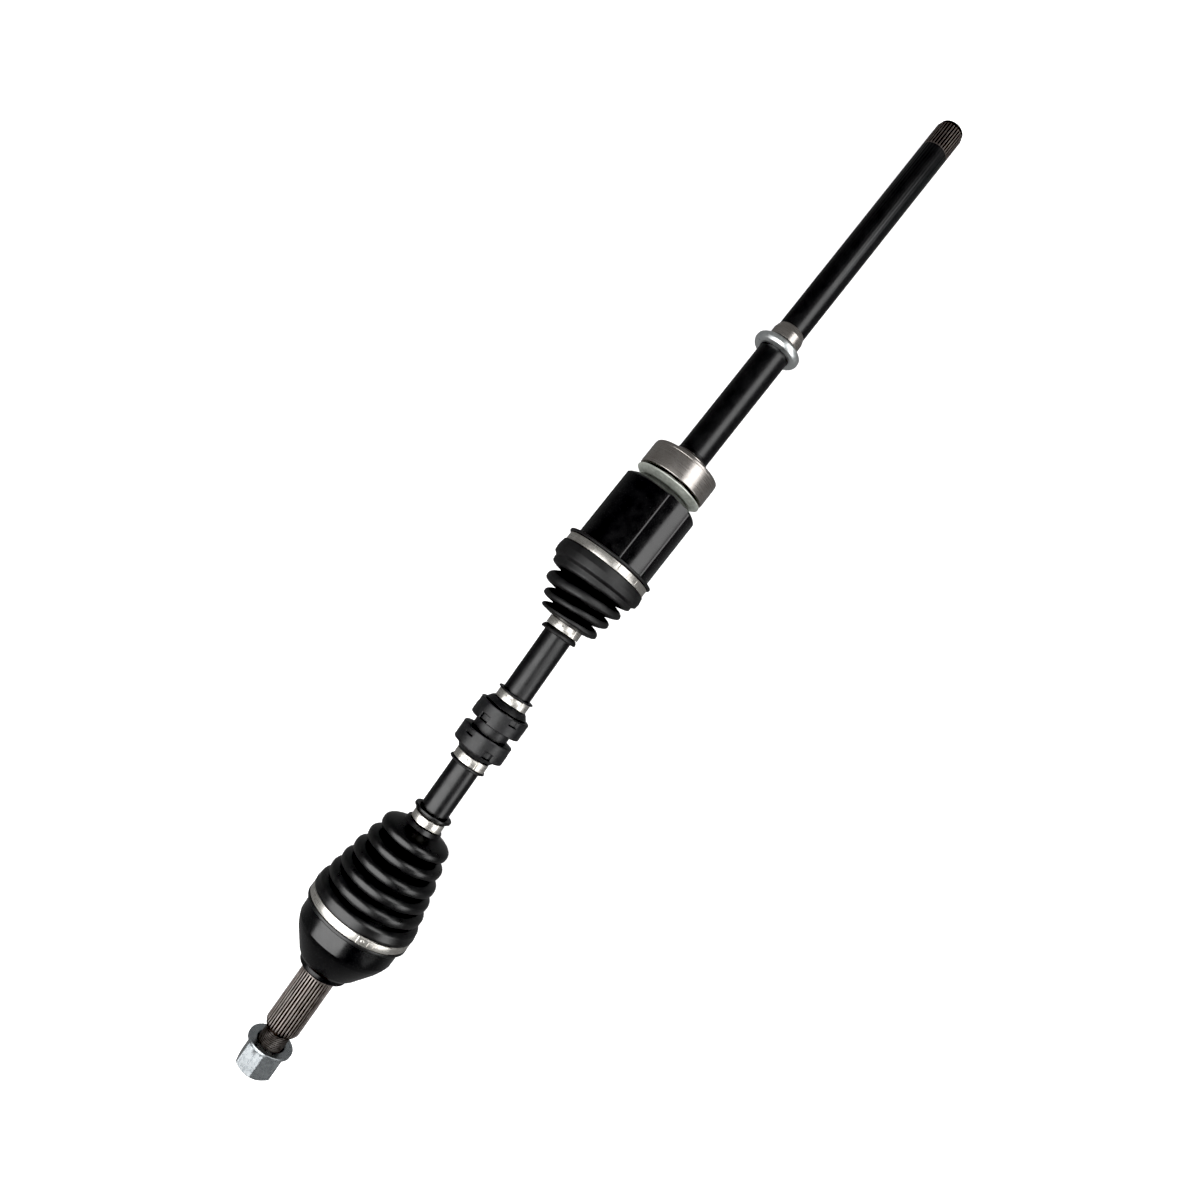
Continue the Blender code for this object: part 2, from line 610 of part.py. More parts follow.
def make_rollers(line):
    half = ROLLER_WIDTH / 2
    bulge = 1.0 * MM
    crown = [(-half, ROLLER_RADIUS - bulge), (-half / 2, ROLLER_RADIUS - bulge / 4), (0.0, ROLLER_RADIUS),
             (half / 2, ROLLER_RADIUS - bulge / 4), (half, ROLLER_RADIUS - bulge)]
    roller = crown + [(half, ROLLER_BORE), (-half, ROLLER_BORE)]
    needles = [(-4.5 * MM, TRUNNION_RADIUS + GAP), (-4.5 * MM, NEEDLE_OUTSIDE), (4.5 * MM, NEEDLE_OUTSIDE),
               (4.5 * MM, TRUNNION_RADIUS + GAP)]
    clip = [(5.1 * MM, TRUNNION_RADIUS + GAP), (5.1 * MM, 10.0 * MM), (6.2 * MM, 10.0 * MM),
            (6.2 * MM, TRUNNION_RADIUS + GAP)]
    shapes = {"tripod_roller": roller, "tripod_needle_set": needles, "tripod_roller_clip": clip}
    for index in range(TRACKS):
        for kind, profile in shapes.items():
            made = add_part(f"{kind}_{index + 1}", radial_ring_mesh(kind, profile), line, GROUND_STEEL)
            made.matrix_local = radial_place(track_angle(index), ROLLER_CIRCLE)


# Intermediate shaft and its bearing

def make_shaft(line):
    seat_end = 88.5 * MM
    profile = [
        (SHAFT_SOCKET + GAP, 0.0), (SHAFT_SOCKET + GAP, SHAFT_RADIUS),
        (BEARING_START - 2.0 * MM, SHAFT_RADIUS),
        (BEARING_START - 1.6 * MM, BEARING_SEAT_RADIUS), (seat_end, BEARING_SEAT_RADIUS),
        (seat_end + 1.5 * MM, SHAFT_RADIUS + 0.5 * MM), (seat_end + 4.0 * MM, SHAFT_RADIUS),
        (214.0 * MM, SHAFT_RADIUS), (214.4 * MM, SEAL_SEAT_RADIUS), (222.6 * MM, SEAL_SEAT_RADIUS),
        (227.6 * MM, TIP_RADIUS), (TIP_END - 3.4 * MM, TIP_RADIUS), (TIP_END, TIP_RADIUS - 3.0 * MM),
        (TIP_END, 0.0),
    ]
    return turned("intermediate_shaft", profile, line, BLACK_PAINT)


def make_bearing(line):
    start, end = BEARING_START, BEARING_END
    middle = (start + end) / 2
    chamfer = 0.8 * MM
    groove = 0.9 * MM
    width = 3.4 * MM
    outer = [(start, OUTER_RING_BORE), (start, BEARING_OUTSIDE - chamfer), (start + chamfer, BEARING_OUTSIDE),
             (end - chamfer, BEARING_OUTSIDE), (end, BEARING_OUTSIDE - chamfer), (end, OUTER_RING_BORE),
             (middle + width, OUTER_RING_BORE), (middle + width / 2, OUTER_RING_BORE + groove),
             (middle - width / 2, OUTER_RING_BORE + groove), (middle - width, OUTER_RING_BORE)]
    turned("bearing_outer_ring", outer, line, GROUND_STEEL)
    bore = BEARING_SEAT_RADIUS + GAP
    inner = [(start, bore), (start, INNER_RING_OUTSIDE), (middle - width, INNER_RING_OUTSIDE),
             (middle - width / 2, INNER_RING_OUTSIDE - groove),
             (middle + width / 2, INNER_RING_OUTSIDE - groove),
             (middle + width, INNER_RING_OUTSIDE), (end, INNER_RING_OUTSIDE), (end, bore)]
    turned("bearing_inner_ring", inner, line, GROUND_STEEL, SMALL_SIDES)
    half = 1.7 * MM
    cage = ring("bearing_ball_set", middle - half, middle + half, BEARING_BALL_CIRCLE - 0.8 * MM,
                BEARING_BALL_CIRCLE + 0.8 * MM, line, GROUND_STEEL, SMALL_SIDES)
    for index in range(BEARING_BALLS):
        mesh = ball_mesh(f"bearing_ball_{index + 1}", BEARING_BALL_RADIUS, 8, 6)
        ball = add_cutter(mesh.name, mesh, line)
        turn = about_axis(index * math.tau / BEARING_BALLS) @ Matrix.Translation((0, 0, BEARING_BALL_CIRCLE))
        ball.matrix_local = Matrix.Translation((middle, 0, 0)) @ turn
        boolean(cage, ball, "UNION")
    inside, outside = INNER_RING_OUTSIDE + 2 * GAP, OUTER_RING_BORE - GAP
    inset, seal = 0.6 * MM, 1.2 * MM
    ring("bearing_seal_outboard", start + inset, start + inset + seal, inside, outside, line, BOOT_RUBBER)
    ring("bearing_seal_inboard", end - inset - seal, end - inset, inside, outside, line, BOOT_RUBBER)
    ring("bearing_retaining_ring", end + 0.5 * MM, end + 2.1 * MM, bore, 20.0 * MM, line, GROUND_STEEL,
         SMALL_SIDES)


def make_shields(line):
    wall = 0.9 * MM
    bore = SHAFT_RADIUS + GAP
    shield = [(53.4 * MM, bore), (53.4 * MM, 26.0 * MM), (54.6 * MM, 28.6 * MM), (59.6 * MM, 31.2 * MM),
              (60.6 * MM, 31.2 * MM), (60.6 * MM, 31.2 * MM - wall), (55.0 * MM, 27.6 * MM),
              (54.3 * MM, 26.0 * MM),
              (54.3 * MM, bore)]
    turned("dust_shield", shield, line, OLIVE_ZINC)
    deflector = [(202.6 * MM, bore), (202.6 * MM, 18.0 * MM), (203.0 * MM, 20.4 * MM),
                 (204.4 * MM, DEFLECTOR_RADIUS),
                 (211.2 * MM, DEFLECTOR_RADIUS), (211.2 * MM, DEFLECTOR_RADIUS - 1.4 * MM),
                 (205.4 * MM, 19.6 * MM),
                 (205.0 * MM, 16.2 * MM), (212.6 * MM, 16.2 * MM), (212.6 * MM, bore)]
    turned("seal_deflector_ring", deflector, line, ZINC)


def stand_on_floor(centre_empty):
    """Moves the axle so that the origin is under the middle of its box, at floor height."""
    bpy.context.view_layer.update()
    graph = bpy.context.evaluated_depsgraph_get()
    corners = []
    for made in parts.objects:
        if made.type == "MESH":
            seen = made.evaluated_get(graph)
            corners += [seen.matrix_world @ corner.co for corner in seen.data.vertices]
    low = [min(corner[axis] for corner in corners) for axis in range(3)]
    high = [max(corner[axis] for corner in corners) for axis in range(3)]
    centre_empty.location -= Vector(((low[0] + high[0]) / 2, (low[1] + high[1]) / 2, low[2]))


def build():
    global parts, cutters
    for old in list(bpy.data.objects):
        bpy.data.objects.remove(old)
    parts = collection("cv_axle")
    cutters = collection("cutters")

    centre = empty("tripod_centre")
    bar_line = empty("bar_line", centre, rotation=line_turn(BAR_YAW, BAR_PITCH).to_euler())
    shaft_line = empty("shaft_line", centre, rotation=line_turn(SHAFT_YAW, SHAFT_PITCH).to_euler())
    outer_centre = empty("outer_joint_centre", bar_line, location=(OUTER_CENTRE, 0, 0))

    make_outer_housing(bar_line)
    make_nut(bar_line)
    make_inner_race(bar_line)
    make_cage(outer_centre)
    neck_bore = BAR_NECK_RADIUS + GAP
    ring("outer_race_clip", BAR_START + 0.6 * MM, BAR_START + 2.0 * MM, neck_bore, CLIP_RADIUS, bar_line,
         GROUND_STEEL, SMALL_SIDES)
    make_outer_boot(bar_line)
    clamp("outer_boot_large_clamp", OUTER_LARGE_CLAMP, bar_line)
    clamp("outer_boot_small_clamp", OUTER_SMALL_CLAMP, bar_line, SMALL_SIDES)

    make_bar(bar_line)
    make_damper(bar_line)

    make_inner_boot(centre)
    clamp("inner_boot_small_clamp", INNER_SMALL_CLAMP, bar_line, SMALL_SIDES)
    clamp("inner_boot_large_clamp", INNER_LARGE_CLAMP, shaft_line)
    make_spider(bar_line)
    make_rollers(bar_line)
    ring("spider_snap_ring", 8.5 * MM, 10.0 * MM, neck_bore, CLIP_RADIUS, bar_line, GROUND_STEEL, SMALL_SIDES)
    make_tripod_housing(shaft_line)

    make_shaft(shaft_line)
    make_bearing(shaft_line)
    make_shields(shaft_line)
    stand_on_floor(centre)


build()
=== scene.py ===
"""Looks of the front drive axle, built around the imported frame.

Every shape is made in millimetres on one of the axle's two straight lines and then put in
place: x is the distance from the tripod centre along the line, positive to the gearbox, and
angles about a line run from its Y (90 degrees is straight up).
"""

import json
import math

import bpy
import numpy as np
from mathutils import Matrix, Vector


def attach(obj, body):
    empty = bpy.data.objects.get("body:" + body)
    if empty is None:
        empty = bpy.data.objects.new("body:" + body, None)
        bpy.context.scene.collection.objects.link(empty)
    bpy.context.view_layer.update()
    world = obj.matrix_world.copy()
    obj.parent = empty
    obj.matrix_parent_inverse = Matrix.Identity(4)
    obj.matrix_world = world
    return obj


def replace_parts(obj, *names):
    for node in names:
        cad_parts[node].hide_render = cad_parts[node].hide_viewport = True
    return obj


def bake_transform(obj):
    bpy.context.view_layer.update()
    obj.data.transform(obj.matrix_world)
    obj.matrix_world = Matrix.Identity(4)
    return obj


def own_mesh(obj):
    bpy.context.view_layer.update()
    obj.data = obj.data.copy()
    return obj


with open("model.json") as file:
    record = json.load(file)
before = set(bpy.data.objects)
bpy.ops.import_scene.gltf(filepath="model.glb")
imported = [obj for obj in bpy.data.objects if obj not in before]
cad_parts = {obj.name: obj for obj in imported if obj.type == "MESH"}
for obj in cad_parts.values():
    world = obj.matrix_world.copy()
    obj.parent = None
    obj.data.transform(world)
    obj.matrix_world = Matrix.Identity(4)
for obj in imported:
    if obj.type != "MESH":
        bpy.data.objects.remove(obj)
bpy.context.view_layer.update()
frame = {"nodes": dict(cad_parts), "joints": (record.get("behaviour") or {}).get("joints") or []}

MM = 0.001
TAU = math.tau

# The two lines, taken from the joints
joint = {j["name"]: j for j in frame["joints"]}
TRIPOD = Vector(joint["inner_bend"]["pos_m"])
SHAFT_X = Vector(joint["inner_plunge"]["axis"]).normalized()
SHAFT_Z = Vector(joint["inner_bend"]["axis"]).normalized()
BAR_Z = Vector(joint["outer_bend_first_half"]["axis"]).normalized()
BAR_Y = Vector(joint["outer_tilt"]["axis"]).normalized()


def axes(x, z):
    """Rotation whose columns are a line's X, Y and Z."""
    y = z.cross(x).normalized()
    return Matrix((x, y, x.cross(y))).transposed()


BAR = axes(BAR_Y.cross(BAR_Z), BAR_Z)
SHAFT = axes(SHAFT_X, SHAFT_Z)
BEND_START, BEND_END = -80.0, -32.0


def on_line(turn):
    """Puts points on a straight line through the tripod centre."""
    matrix = np.array(turn)

    def place(points):
        return points * MM @ matrix.T + np.array(TRIPOD)
    return place


on_bar = on_line(BAR)
on_shaft = on_line(SHAFT)


def bend_turn(x):
    """Turn between the two lines at a distance along the inner boot."""
    share = min(max((x - BEND_START) / (BEND_END - BEND_START), 0.0), 1.0)
    return BAR.to_quaternion().slerp(SHAFT.to_quaternion(), share * share * (3 - 2 * share))


def on_bend(points):
    """Puts points on the inner boot's line, which leaves the bar line for the shaft line.

    Each section stands square to that curved line, so the folds lean as the joint bends.
    """
    placed = np.empty_like(points)
    sections = {}
    for i, x in enumerate(np.round(points[:, 0], 4)):
        if x not in sections:
            step = 0.05
            ahead, behind = (bend_turn(x + k) @ Vector((x + k, 0, 0)) for k in (step, -step))
            turn = bend_turn(x)
            lean = (turn @ Vector((1, 0, 0))).rotation_difference((ahead - behind).normalized())
            centre = np.array(turn @ Vector((x, 0, 0)))
            sections[x] = centre, np.array((lean @ turn).to_matrix())
        centre, matrix = sections[x]
        placed[i] = centre + matrix @ np.array([0.0, points[i, 1], points[i, 2]])
    return placed * MM + np.array(TRIPOD)


# ---------------------------------------------------------------- profiles

EDGE_SHARE = 0.49
FULLNESS = 2.8
VALLEY_START, VALLEY_ROUND = 0.86, 0.06


def fillet(points, steps=5, closed=False):
    """Rounds the corners of a line of (x, r) or (x, r, radius) points."""
    made, count = [], len(points)
    for i, point in enumerate(points):
        radius = point[2] if len(point) > 2 else 0.0
        here = np.array(point[:2], float)
        if radius <= 0 or (not closed and i in (0, count - 1)):
            made.append(tuple(here))
            continue
        before = np.array(points[i - 1][:2], float) - here
        after = np.array(points[(i + 1) % count][:2], float) - here
        long_before, long_after = np.linalg.norm(before), np.linalg.norm(after)
        before, after = before / long_before, after / long_after
        half = 0.5 * math.acos(float(np.clip(before @ after, -1, 1)))
        if half > math.radians(89):
            made.append(tuple(here))
            continue
        reach = min(radius / math.tan(half), EDGE_SHARE * long_before, EDGE_SHARE * long_after)
        radius = reach * math.tan(half)
        middle = here + (before + after) / np.linalg.norm(before + after) * radius / math.sin(half)
        start, end = here + before * reach - middle, here + after * reach - middle
        sweep = math.atan2(start[0] * end[1] - start[1] * end[0], float(start @ end))
        for k in range(steps + 1):
            c, s = math.cos(sweep * k / steps), math.sin(sweep * k / steps)
            made.append((middle[0] + c * start[0] - s * start[1], middle[1] + s * start[0] + c * start[1]))
    return made


def cut(profile, start, end):
    """The part of a line of points between two distances."""
    kept = []
    for (x0, r0), (x1, r1) in zip(profile, profile[1:]):
        for limit in (start, end):
            if x0 < limit < x1:
                kept.append((limit, r0 + (r1 - r0) * (limit - x0) / (x1 - x0)))
        if start <= x1 <= end:
            kept.append((x1, r1))
    if start <= profile[0][0] <= end:
        kept.insert(0, profile[0])
    return sorted(set(kept), key=lambda p: (p[0], kept.index(p)))


def folds(stops, wall=0.0, count=8):
    """Bellows through crests and valleys in turn: full round crests, and narrow valleys."""
    made = []
    for k, ((x0, r0), (x1, r1)) in enumerate(zip(stops, stops[1:])):
        falling = r1 < r0
        crest, valley = ((x0, r0), (x1, r1)) if falling else ((x1, r1), (x0, r0))
        shares = np.linspace(0, 1, count + 1)
        if not falling:
            shares = 1 - shares
        for share in shares[(1 if k else 0):]:
            x = crest[0] + (valley[0] - crest[0]) * share
            round_off = VALLEY_ROUND * max(0.0, (share - VALLEY_START) / (1 - VALLEY_START)) ** 2
            height = max(0.0, 1 - share ** FULLNESS) + round_off
            made.append((x, valley[1] + (crest[1] - valley[1]) * height - wall))
    return made


def area(rows):
    return 0.5 * sum(a[0] * b[1] - b[0] * a[1] for a, b in zip(rows, rows[1:] + rows[:1]))


# ---------------------------------------------------------------- shells

def revolve(rows, around=96, shapes=None):
    """A turned shell of rows (x, r) or (x, r, kind), where shapes[kind](x, r, angles) gives the radii.

    Rows off the axis at both ends make a ring, and otherwise they close on the axis.
    """
    rows = list(rows)
    if area(rows) < 0:
        rows.reverse()
    ring = rows[0][1] > 0 and rows[-1][1] > 0
    angles = np.arange(around) * TAU / around
    points, loops, total = [], [], 0
    for row in rows:
        x, r = row[:2]
        if r <= 0:
            points.append([[x, 0.0, 0.0]])
            loops.append(np.full(around, total))
            total += 1
            continue
        radii = np.full(around, float(r))
        if len(row) > 2:
            radii = shapes[row[2]](x, r, angles)
        across = radii * np.cos(angles), radii * np.sin(angles)
        points.append(np.stack([np.full(around, float(x)), *across], 1))
        loops.append(total + np.arange(around))
        total += around
    pairs = list(zip(loops, loops[1:])) + ([(loops[-1], loops[0])] if ring else [])
    faces = []
    for a, b in pairs:
        for j in range(around):
            k = (j + 1) % around
            corners = [a[j], b[j], b[k], a[k]]
            faces.append([int(c) for n, c in enumerate(corners) if c != corners[n - 1]])
    return np.concatenate([np.array(p, float) for p in points]), faces


END_EASE = 0.35
END_SIZE, EASED_SIZE, EASED_AT = 0.72, 0.93, 0.35


def swept(section, start, end, steps=24):
    """A closed section of (x, r) points carried from start to end degrees round the line.

    Each end narrows over END_EASE millimetres.
    """
    section = list(section)
    if area(section) < 0:
        section.reverse()
    middle = np.mean(np.array(section), 0)
    count = len(section)
    reach = math.degrees(END_EASE / middle[1])
    stops = [(start, END_SIZE), (start + reach * EASED_AT, EASED_SIZE), (start + reach, 1.0)]
    stops += [(start + reach + (end - start - 2 * reach) * (k + 1) / steps, 1.0) for k in range(steps)]
    stops += [(end - reach * EASED_AT, EASED_SIZE), (end, END_SIZE)]
    points, faces = [], []
    for angle, size in stops:
        turn = math.radians(angle)
        for x, r in section:
            x = middle[0] + (x - middle[0]) * (1 - (1 - size) * 0.4)
            r = middle[1] + (r - middle[1]) * size
            points.append([x, r * math.cos(turn), r * math.sin(turn)])
    for i in range(len(stops) - 1):
        for j in range(count):
            k = (j + 1) % count
            faces.append([(i + 1) * count + j, (i + 1) * count + k, i * count + k, i * count + j])
    faces.append(list(range(count))[::-1])
    faces.append([(len(stops) - 1) * count + j for j in range(count)])
    points = np.array(points)
    return points, outward(points, faces)


def outward(points, faces):
    """Turns every face of a closed shell over if its volume comes out negative."""
    volume = 0.0
    for face in faces:
        for i in range(1, len(face) - 1):
            volume += np.dot(points[face[0]], np.cross(points[face[i]], points[face[i + 1]]))
    return faces if volume > 0 else [face[::-1] for face in faces]


STUD_SUNK = 0.3


def stud(x, angle, foot, radius, height, around=20, rows=5):
    """A low round dome standing on a band at an angle in degrees."""
    points = []
    turn = math.radians(angle)
    radial = np.array([0, math.cos(turn), math.sin(turn)])
    side = np.array([0, -math.sin(turn), math.cos(turn)])
    along = np.array([1.0, 0, 0])
    centre = along * x + radial * foot
    for i in range(rows):
        lift = math.sin(i / rows * math.pi / 2) * height
        size = math.cos(i / rows * math.pi / 2) * radius
        for j in range(around):
            a = j * TAU / around
            rim = side * math.cos(a) + along * math.sin(a)
            points.append(centre + radial * lift + rim * size)
    points.append(centre + radial * height)
    points.append(centre - radial * STUD_SUNK)
    top, low = rows * around, rows * around + 1
    faces = []
    for j in range(around):
        k = (j + 1) % around
        for i in range(rows - 1):
            above = (i + 1) * around
            faces.append([i * around + j, i * around + k, above + k, above + j])
        faces.append([(rows - 1) * around + j, (rows - 1) * around + k, top])
        faces.append([low, k, j])
    points = np.array(points)
    return points, outward(points - centre, faces)


def piece(name, shells, place, look, body=None, stands_for=(), sharp=32):
    """One object from its shells, with each point's millimetre place on the line kept for its material."""
    points, faces, total = [], [], 0
    for shell_points, shell_faces in shells:
        points.append(shell_points)
        faces += [[total + c for c in face] for face in shell_faces]
        total += len(shell_points)
    points = np.concatenate(points)
    mesh = bpy.data.meshes.new(name)
    mesh.from_pydata(place(points).tolist(), [], faces)
    mesh.validate()
    kept = mesh.attributes.new("line", "FLOAT_VECTOR", "POINT")
    kept.data.foreach_set("vector", points.astype(np.float32).ravel())
    mesh.shade_smooth()
    mesh.set_sharp_from_angle(angle=math.radians(sharp))
    made = bpy.data.objects.new(name, mesh)
    bpy.context.scene.collection.objects.link(made)
    made.data.materials.append(look["material"])
    if body:
        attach(made, body)
    if stands_for:
        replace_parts(made, *stands_for)
    return made


# ---------------------------------------------------------------- materials

NOISE_ROUGHNESS = 0.55


class Surface:
    """A procedural material under construction, on the line's millimetre coordinates."""

    def __init__(self, name, slot, own_coordinates=True):
        self.material = bpy.data.materials.new(name)
        self.material.use_nodes = True
        self.tree = self.material.node_tree
        self.shader = self.tree.nodes["Principled BSDF"]
        self.slot = slot
        if own_coordinates:
            source = self.tree.nodes.new("ShaderNodeAttribute")
            source.attribute_name = "line"
            self.place = source.outputs["Vector"]
        else:
            source = self.tree.nodes.new("ShaderNodeTexCoord")
            scaled = self.tree.nodes.new("ShaderNodeMapping")
            scaled.inputs["Scale"].default_value = (1 / MM, 1 / MM, 1 / MM)
            self.join(source.outputs["Object"], scaled.inputs["Vector"])
            self.place = scaled.outputs["Vector"]

    def join(self, a, b):
        self.tree.links.new(a, b)

    def set(self, **values):
        names = {"metallic": "Metallic", "ior": "IOR"}
        for key, value in values.items():
            self.shader.inputs[names[key]].default_value = value

    def noise(self, size, detail=3.0, stretch=(1, 1, 1), distortion=0.0):
        """Noise whose lumps are about size millimetres, drawn out by stretch."""
        mapping = self.tree.nodes.new("ShaderNodeMapping")
        mapping.inputs["Scale"].default_value = tuple(1.0 / (size * s) for s in stretch)
        self.join(self.place, mapping.inputs["Vector"])
        made = self.tree.nodes.new("ShaderNodeTexNoise")
        made.inputs["Scale"].default_value = 1.0
        made.inputs["Detail"].default_value = detail
        made.inputs["Roughness"].default_value = NOISE_ROUGHNESS
        made.inputs["Distortion"].default_value = distortion
        self.join(mapping.outputs["Vector"], made.inputs["Vector"])
        return made.outputs["Fac"]

    def radius(self):
        """Distance from the line, in millimetres."""
        flat = self.tree.nodes.new("ShaderNodeVectorMath")
        flat.operation = "MULTIPLY"
        flat.inputs[1].default_value = (0, 1, 1)
        self.join(self.place, flat.inputs[0])
        made = self.tree.nodes.new("ShaderNodeVectorMath")
        made.operation = "LENGTH"
        self.join(flat.outputs["Vector"], made.inputs[0])
        return made.outputs["Value"]

    def ramp(self, value, low, high, first, last):
        """Carries value from low..high to first..last, which are numbers or colours."""
        if isinstance(first, (int, float)):
            made = self.tree.nodes.new("ShaderNodeMapRange")
            limits = {"From Min": low, "From Max": high, "To Min": first, "To Max": last}
            for key, number in limits.items():
                made.inputs[key].default_value = number
            self.join(value, made.inputs["Value"])
            return made.outputs["Result"]
        made = self.tree.nodes.new("ShaderNodeValToRGB")
        made.color_ramp.elements[0].position = low
        made.color_ramp.elements[1].position = high
        made.color_ramp.elements[0].color = (*first, 1)
        made.color_ramp.elements[1].color = (*last, 1)
        self.join(value, made.inputs["Fac"])
        return made.outputs["Color"]

    def mix(self, share, first, last):
        """Mixes two colours, each a tuple or a socket, by a socket's share of the last."""
        made = self.tree.nodes.new("ShaderNodeMix")
        made.data_type = "RGBA"
        for source, key in ((share, 0), (first, 6), (last, 7)):
            if isinstance(source, tuple):
                made.inputs[key].default_value = (*source, 1)
            else:
                self.join(source, made.inputs[key])
        return made.outputs[2]

    def colour(self, socket):
        self.join(socket, self.shader.inputs["Base Color"])

    def rough(self, socket):
        self.join(socket, self.shader.inputs["Roughness"])

    def bump(self, *layers):
        """Layers of (value, strength, height in millimetres)."""
        normal = None
        for value, strength, height in layers:
            made = self.tree.nodes.new("ShaderNodeBump")
            made.inputs["Strength"].default_value = strength
            made.inputs["Distance"].default_value = height * MM
            self.join(value, made.inputs["Height"])
            if normal is not None:
                self.join(normal, made.inputs["Normal"])
            normal = made.outputs["Normal"]
        self.join(normal, self.shader.inputs["Normal"])

    def done(self):
        return {"material": self.material, "slot": self.slot}


def black_paint(name, smoothest, roughest):
    s = Surface(name, "black_paint")
    s.set(metallic=0.0, ior=1.6)
    cloud = s.noise(9.0, 2.0)
    peel = s.noise(1.1, 2.0)
    grain = s.noise(0.16, 2.0)
    specks = s.ramp(s.noise(0.55, 1.0), 0.73, 0.80, 0.0, 1.0)
    s.colour(s.mix(specks, s.ramp(cloud, 0.3, 0.7, (0.0012, 0.0012, 0.0014), (0.0026, 0.0026, 0.0028)),
                   (0.030, 0.030, 0.030)))
    s.rough(s.ramp(cloud, 0.3, 0.75, smoothest, roughest))
    s.bump((peel, 0.08, 0.06), (grain, 0.10, 0.012))
    return s.done()


def boot_rubber(name, smoothest, roughest):
    s = Surface(name, "boot_rubber")
    s.set(metallic=0.0, ior=1.6)
    cloud = s.noise(7.0, 3.0)
    grain = s.noise(0.22, 3.0)
    dust = s.ramp(s.noise(0.8, 2.0), 0.70, 0.84, 0.0, 0.55)
    s.colour(s.mix(dust, s.ramp(cloud, 0.3, 0.7, (0.0020, 0.0020, 0.0022), (0.0045, 0.0045, 0.0046)),
                   (0.035, 0.034, 0.032)))
    s.rough(s.ramp(cloud, 0.3, 0.7, smoothest, roughest))
    s.bump((cloud, 0.10, 0.35), (grain, 0.18, 0.03))
    return s.done()


def damper_rubber():
    s = Surface("matt_damper_rubber", "damper_rubber")
    s.set(metallic=0.0, ior=1.55)
    cloud = s.noise(5.0, 3.0)
    grain = s.noise(0.30, 3.0)
    dust = s.ramp(s.noise(1.4, 3.0), 0.60, 0.80, 0.0, 0.5)
    s.colour(s.mix(dust, s.ramp(cloud, 0.3, 0.7, (0.005, 0.005, 0.0055), (0.010, 0.010, 0.0105)),
                   (0.060, 0.060, 0.062)))
    s.rough(s.ramp(cloud, 0.3, 0.7, 0.34, 0.46))
    s.bump((cloud, 0.2, 0.4), (grain, 0.3, 0.05))
    return s.done()


def clamp_steel():
    s = Surface("bright_clamp_steel", "clamp_steel")
    s.set(metallic=1.0)
    streaks = s.noise(0.35, 3.0, stretch=(1, 40, 40))
    cloud = s.noise(4.5, 3.0, distortion=0.6)
    stains = s.ramp(s.noise(2.2, 4.0, distortion=1.0), 0.56, 0.70, 0.0, 0.6)
    tone = s.ramp(cloud, 0.3, 0.7, (0.60, 0.58, 0.54), (0.78, 0.76, 0.72))
    s.colour(s.mix(stains, tone, (0.36, 0.33, 0.28)))
    s.rough(s.ramp(streaks, 0.3, 0.7, 0.24, 0.40))
    s.bump((cloud, 0.35, 0.30), (streaks, 0.25, 0.02))
    return s.done()


def ground_steel(own=True, name="ground_bearing_steel"):
    s = Surface(name, "ground_steel", own)
    s.set(metallic=1.0)
    streaks = s.noise(0.22, 4.0, stretch=(1, 60, 60))
    bands = s.noise(1.6, 2.0, stretch=(1, 60, 60))
    cloud = s.noise(9.0, 3.0)
    tone = s.ramp(cloud, 0.3, 0.7, (0.40, 0.370, 0.345), (0.50, 0.470, 0.445))
    s.colour(s.mix(s.ramp(bands, 0.35, 0.7, 0.0, 0.35), tone, (0.58, 0.555, 0.53)))
    s.rough(s.ramp(streaks, 0.3, 0.7, 0.22, 0.36))
    s.bump((streaks, 0.25, 0.012), (cloud, 0.08, 0.10))
    return s.done()


def bright_zinc(name, dull, bright, smoothest, roughest):
    s = Surface(name, "zinc_plate")
    s.set(metallic=1.0)
    cloud = s.noise(3.0, 4.0, distortion=0.4)
    grain = s.noise(0.25, 3.0)
    stains = s.ramp(s.noise(1.4, 4.0), 0.62, 0.78, 0.0, 0.4)
    s.colour(s.mix(stains, s.ramp(cloud, 0.3, 0.7, dull, bright), (0.42, 0.45, 0.44)))
    s.rough(s.ramp(cloud, 0.3, 0.7, smoothest, roughest))
    s.bump((cloud, 0.15, 0.10), (grain, 0.08, 0.02))
    return s.done()


def olive_zinc():
    s = Surface("olive_zinc_plate", "olive_zinc")
    s.set(metallic=0.7)
    cloud = s.noise(4.0, 4.0, distortion=0.8)
    streaks = s.noise(0.5, 3.0, stretch=(1, 30, 30))
    tone = s.ramp(cloud, 0.3, 0.7, (0.46, 0.49, 0.44), (0.68, 0.71, 0.65))
    s.colour(s.mix(s.ramp(streaks, 0.5, 0.8, 0.0, 0.4), tone, (0.24, 0.26, 0.22)))
    s.rough(s.ramp(cloud, 0.3, 0.7, 0.32, 0.46))
    s.bump((cloud, 0.2, 0.15), (streaks, 0.2, 0.02))
    return s.done()


def oiled_steel_with_painted_root_shade(name, root, tip):
    """Oiled steel with painted shade in its tooth roots: near black at radius root, gone by radius tip."""
    s = Surface(name, "ground_steel")
    s.set(metallic=1.0)
    drawn = s.noise(0.35, 3.0, stretch=(30, 1, 1))
    cloud = s.noise(5.0, 3.0)
    tone = s.ramp(cloud, 0.3, 0.7, (0.26, 0.225, 0.21), (0.38, 0.345, 0.325))
    land = s.mix(s.ramp(drawn, 0.45, 0.75, 0.0, 0.5), tone, (0.12, 0.10, 0.09))
    # The near-black colour mixed in by radius is painted shade in the tooth roots
    s.colour(s.mix(s.ramp(s.radius(), root, tip, 0.0, 1.0), (0.020, 0.016, 0.014), land))
    s.rough(s.ramp(cloud, 0.3, 0.7, 0.30, 0.42))
    s.bump((drawn, 0.3, 0.03))
    return s.done()


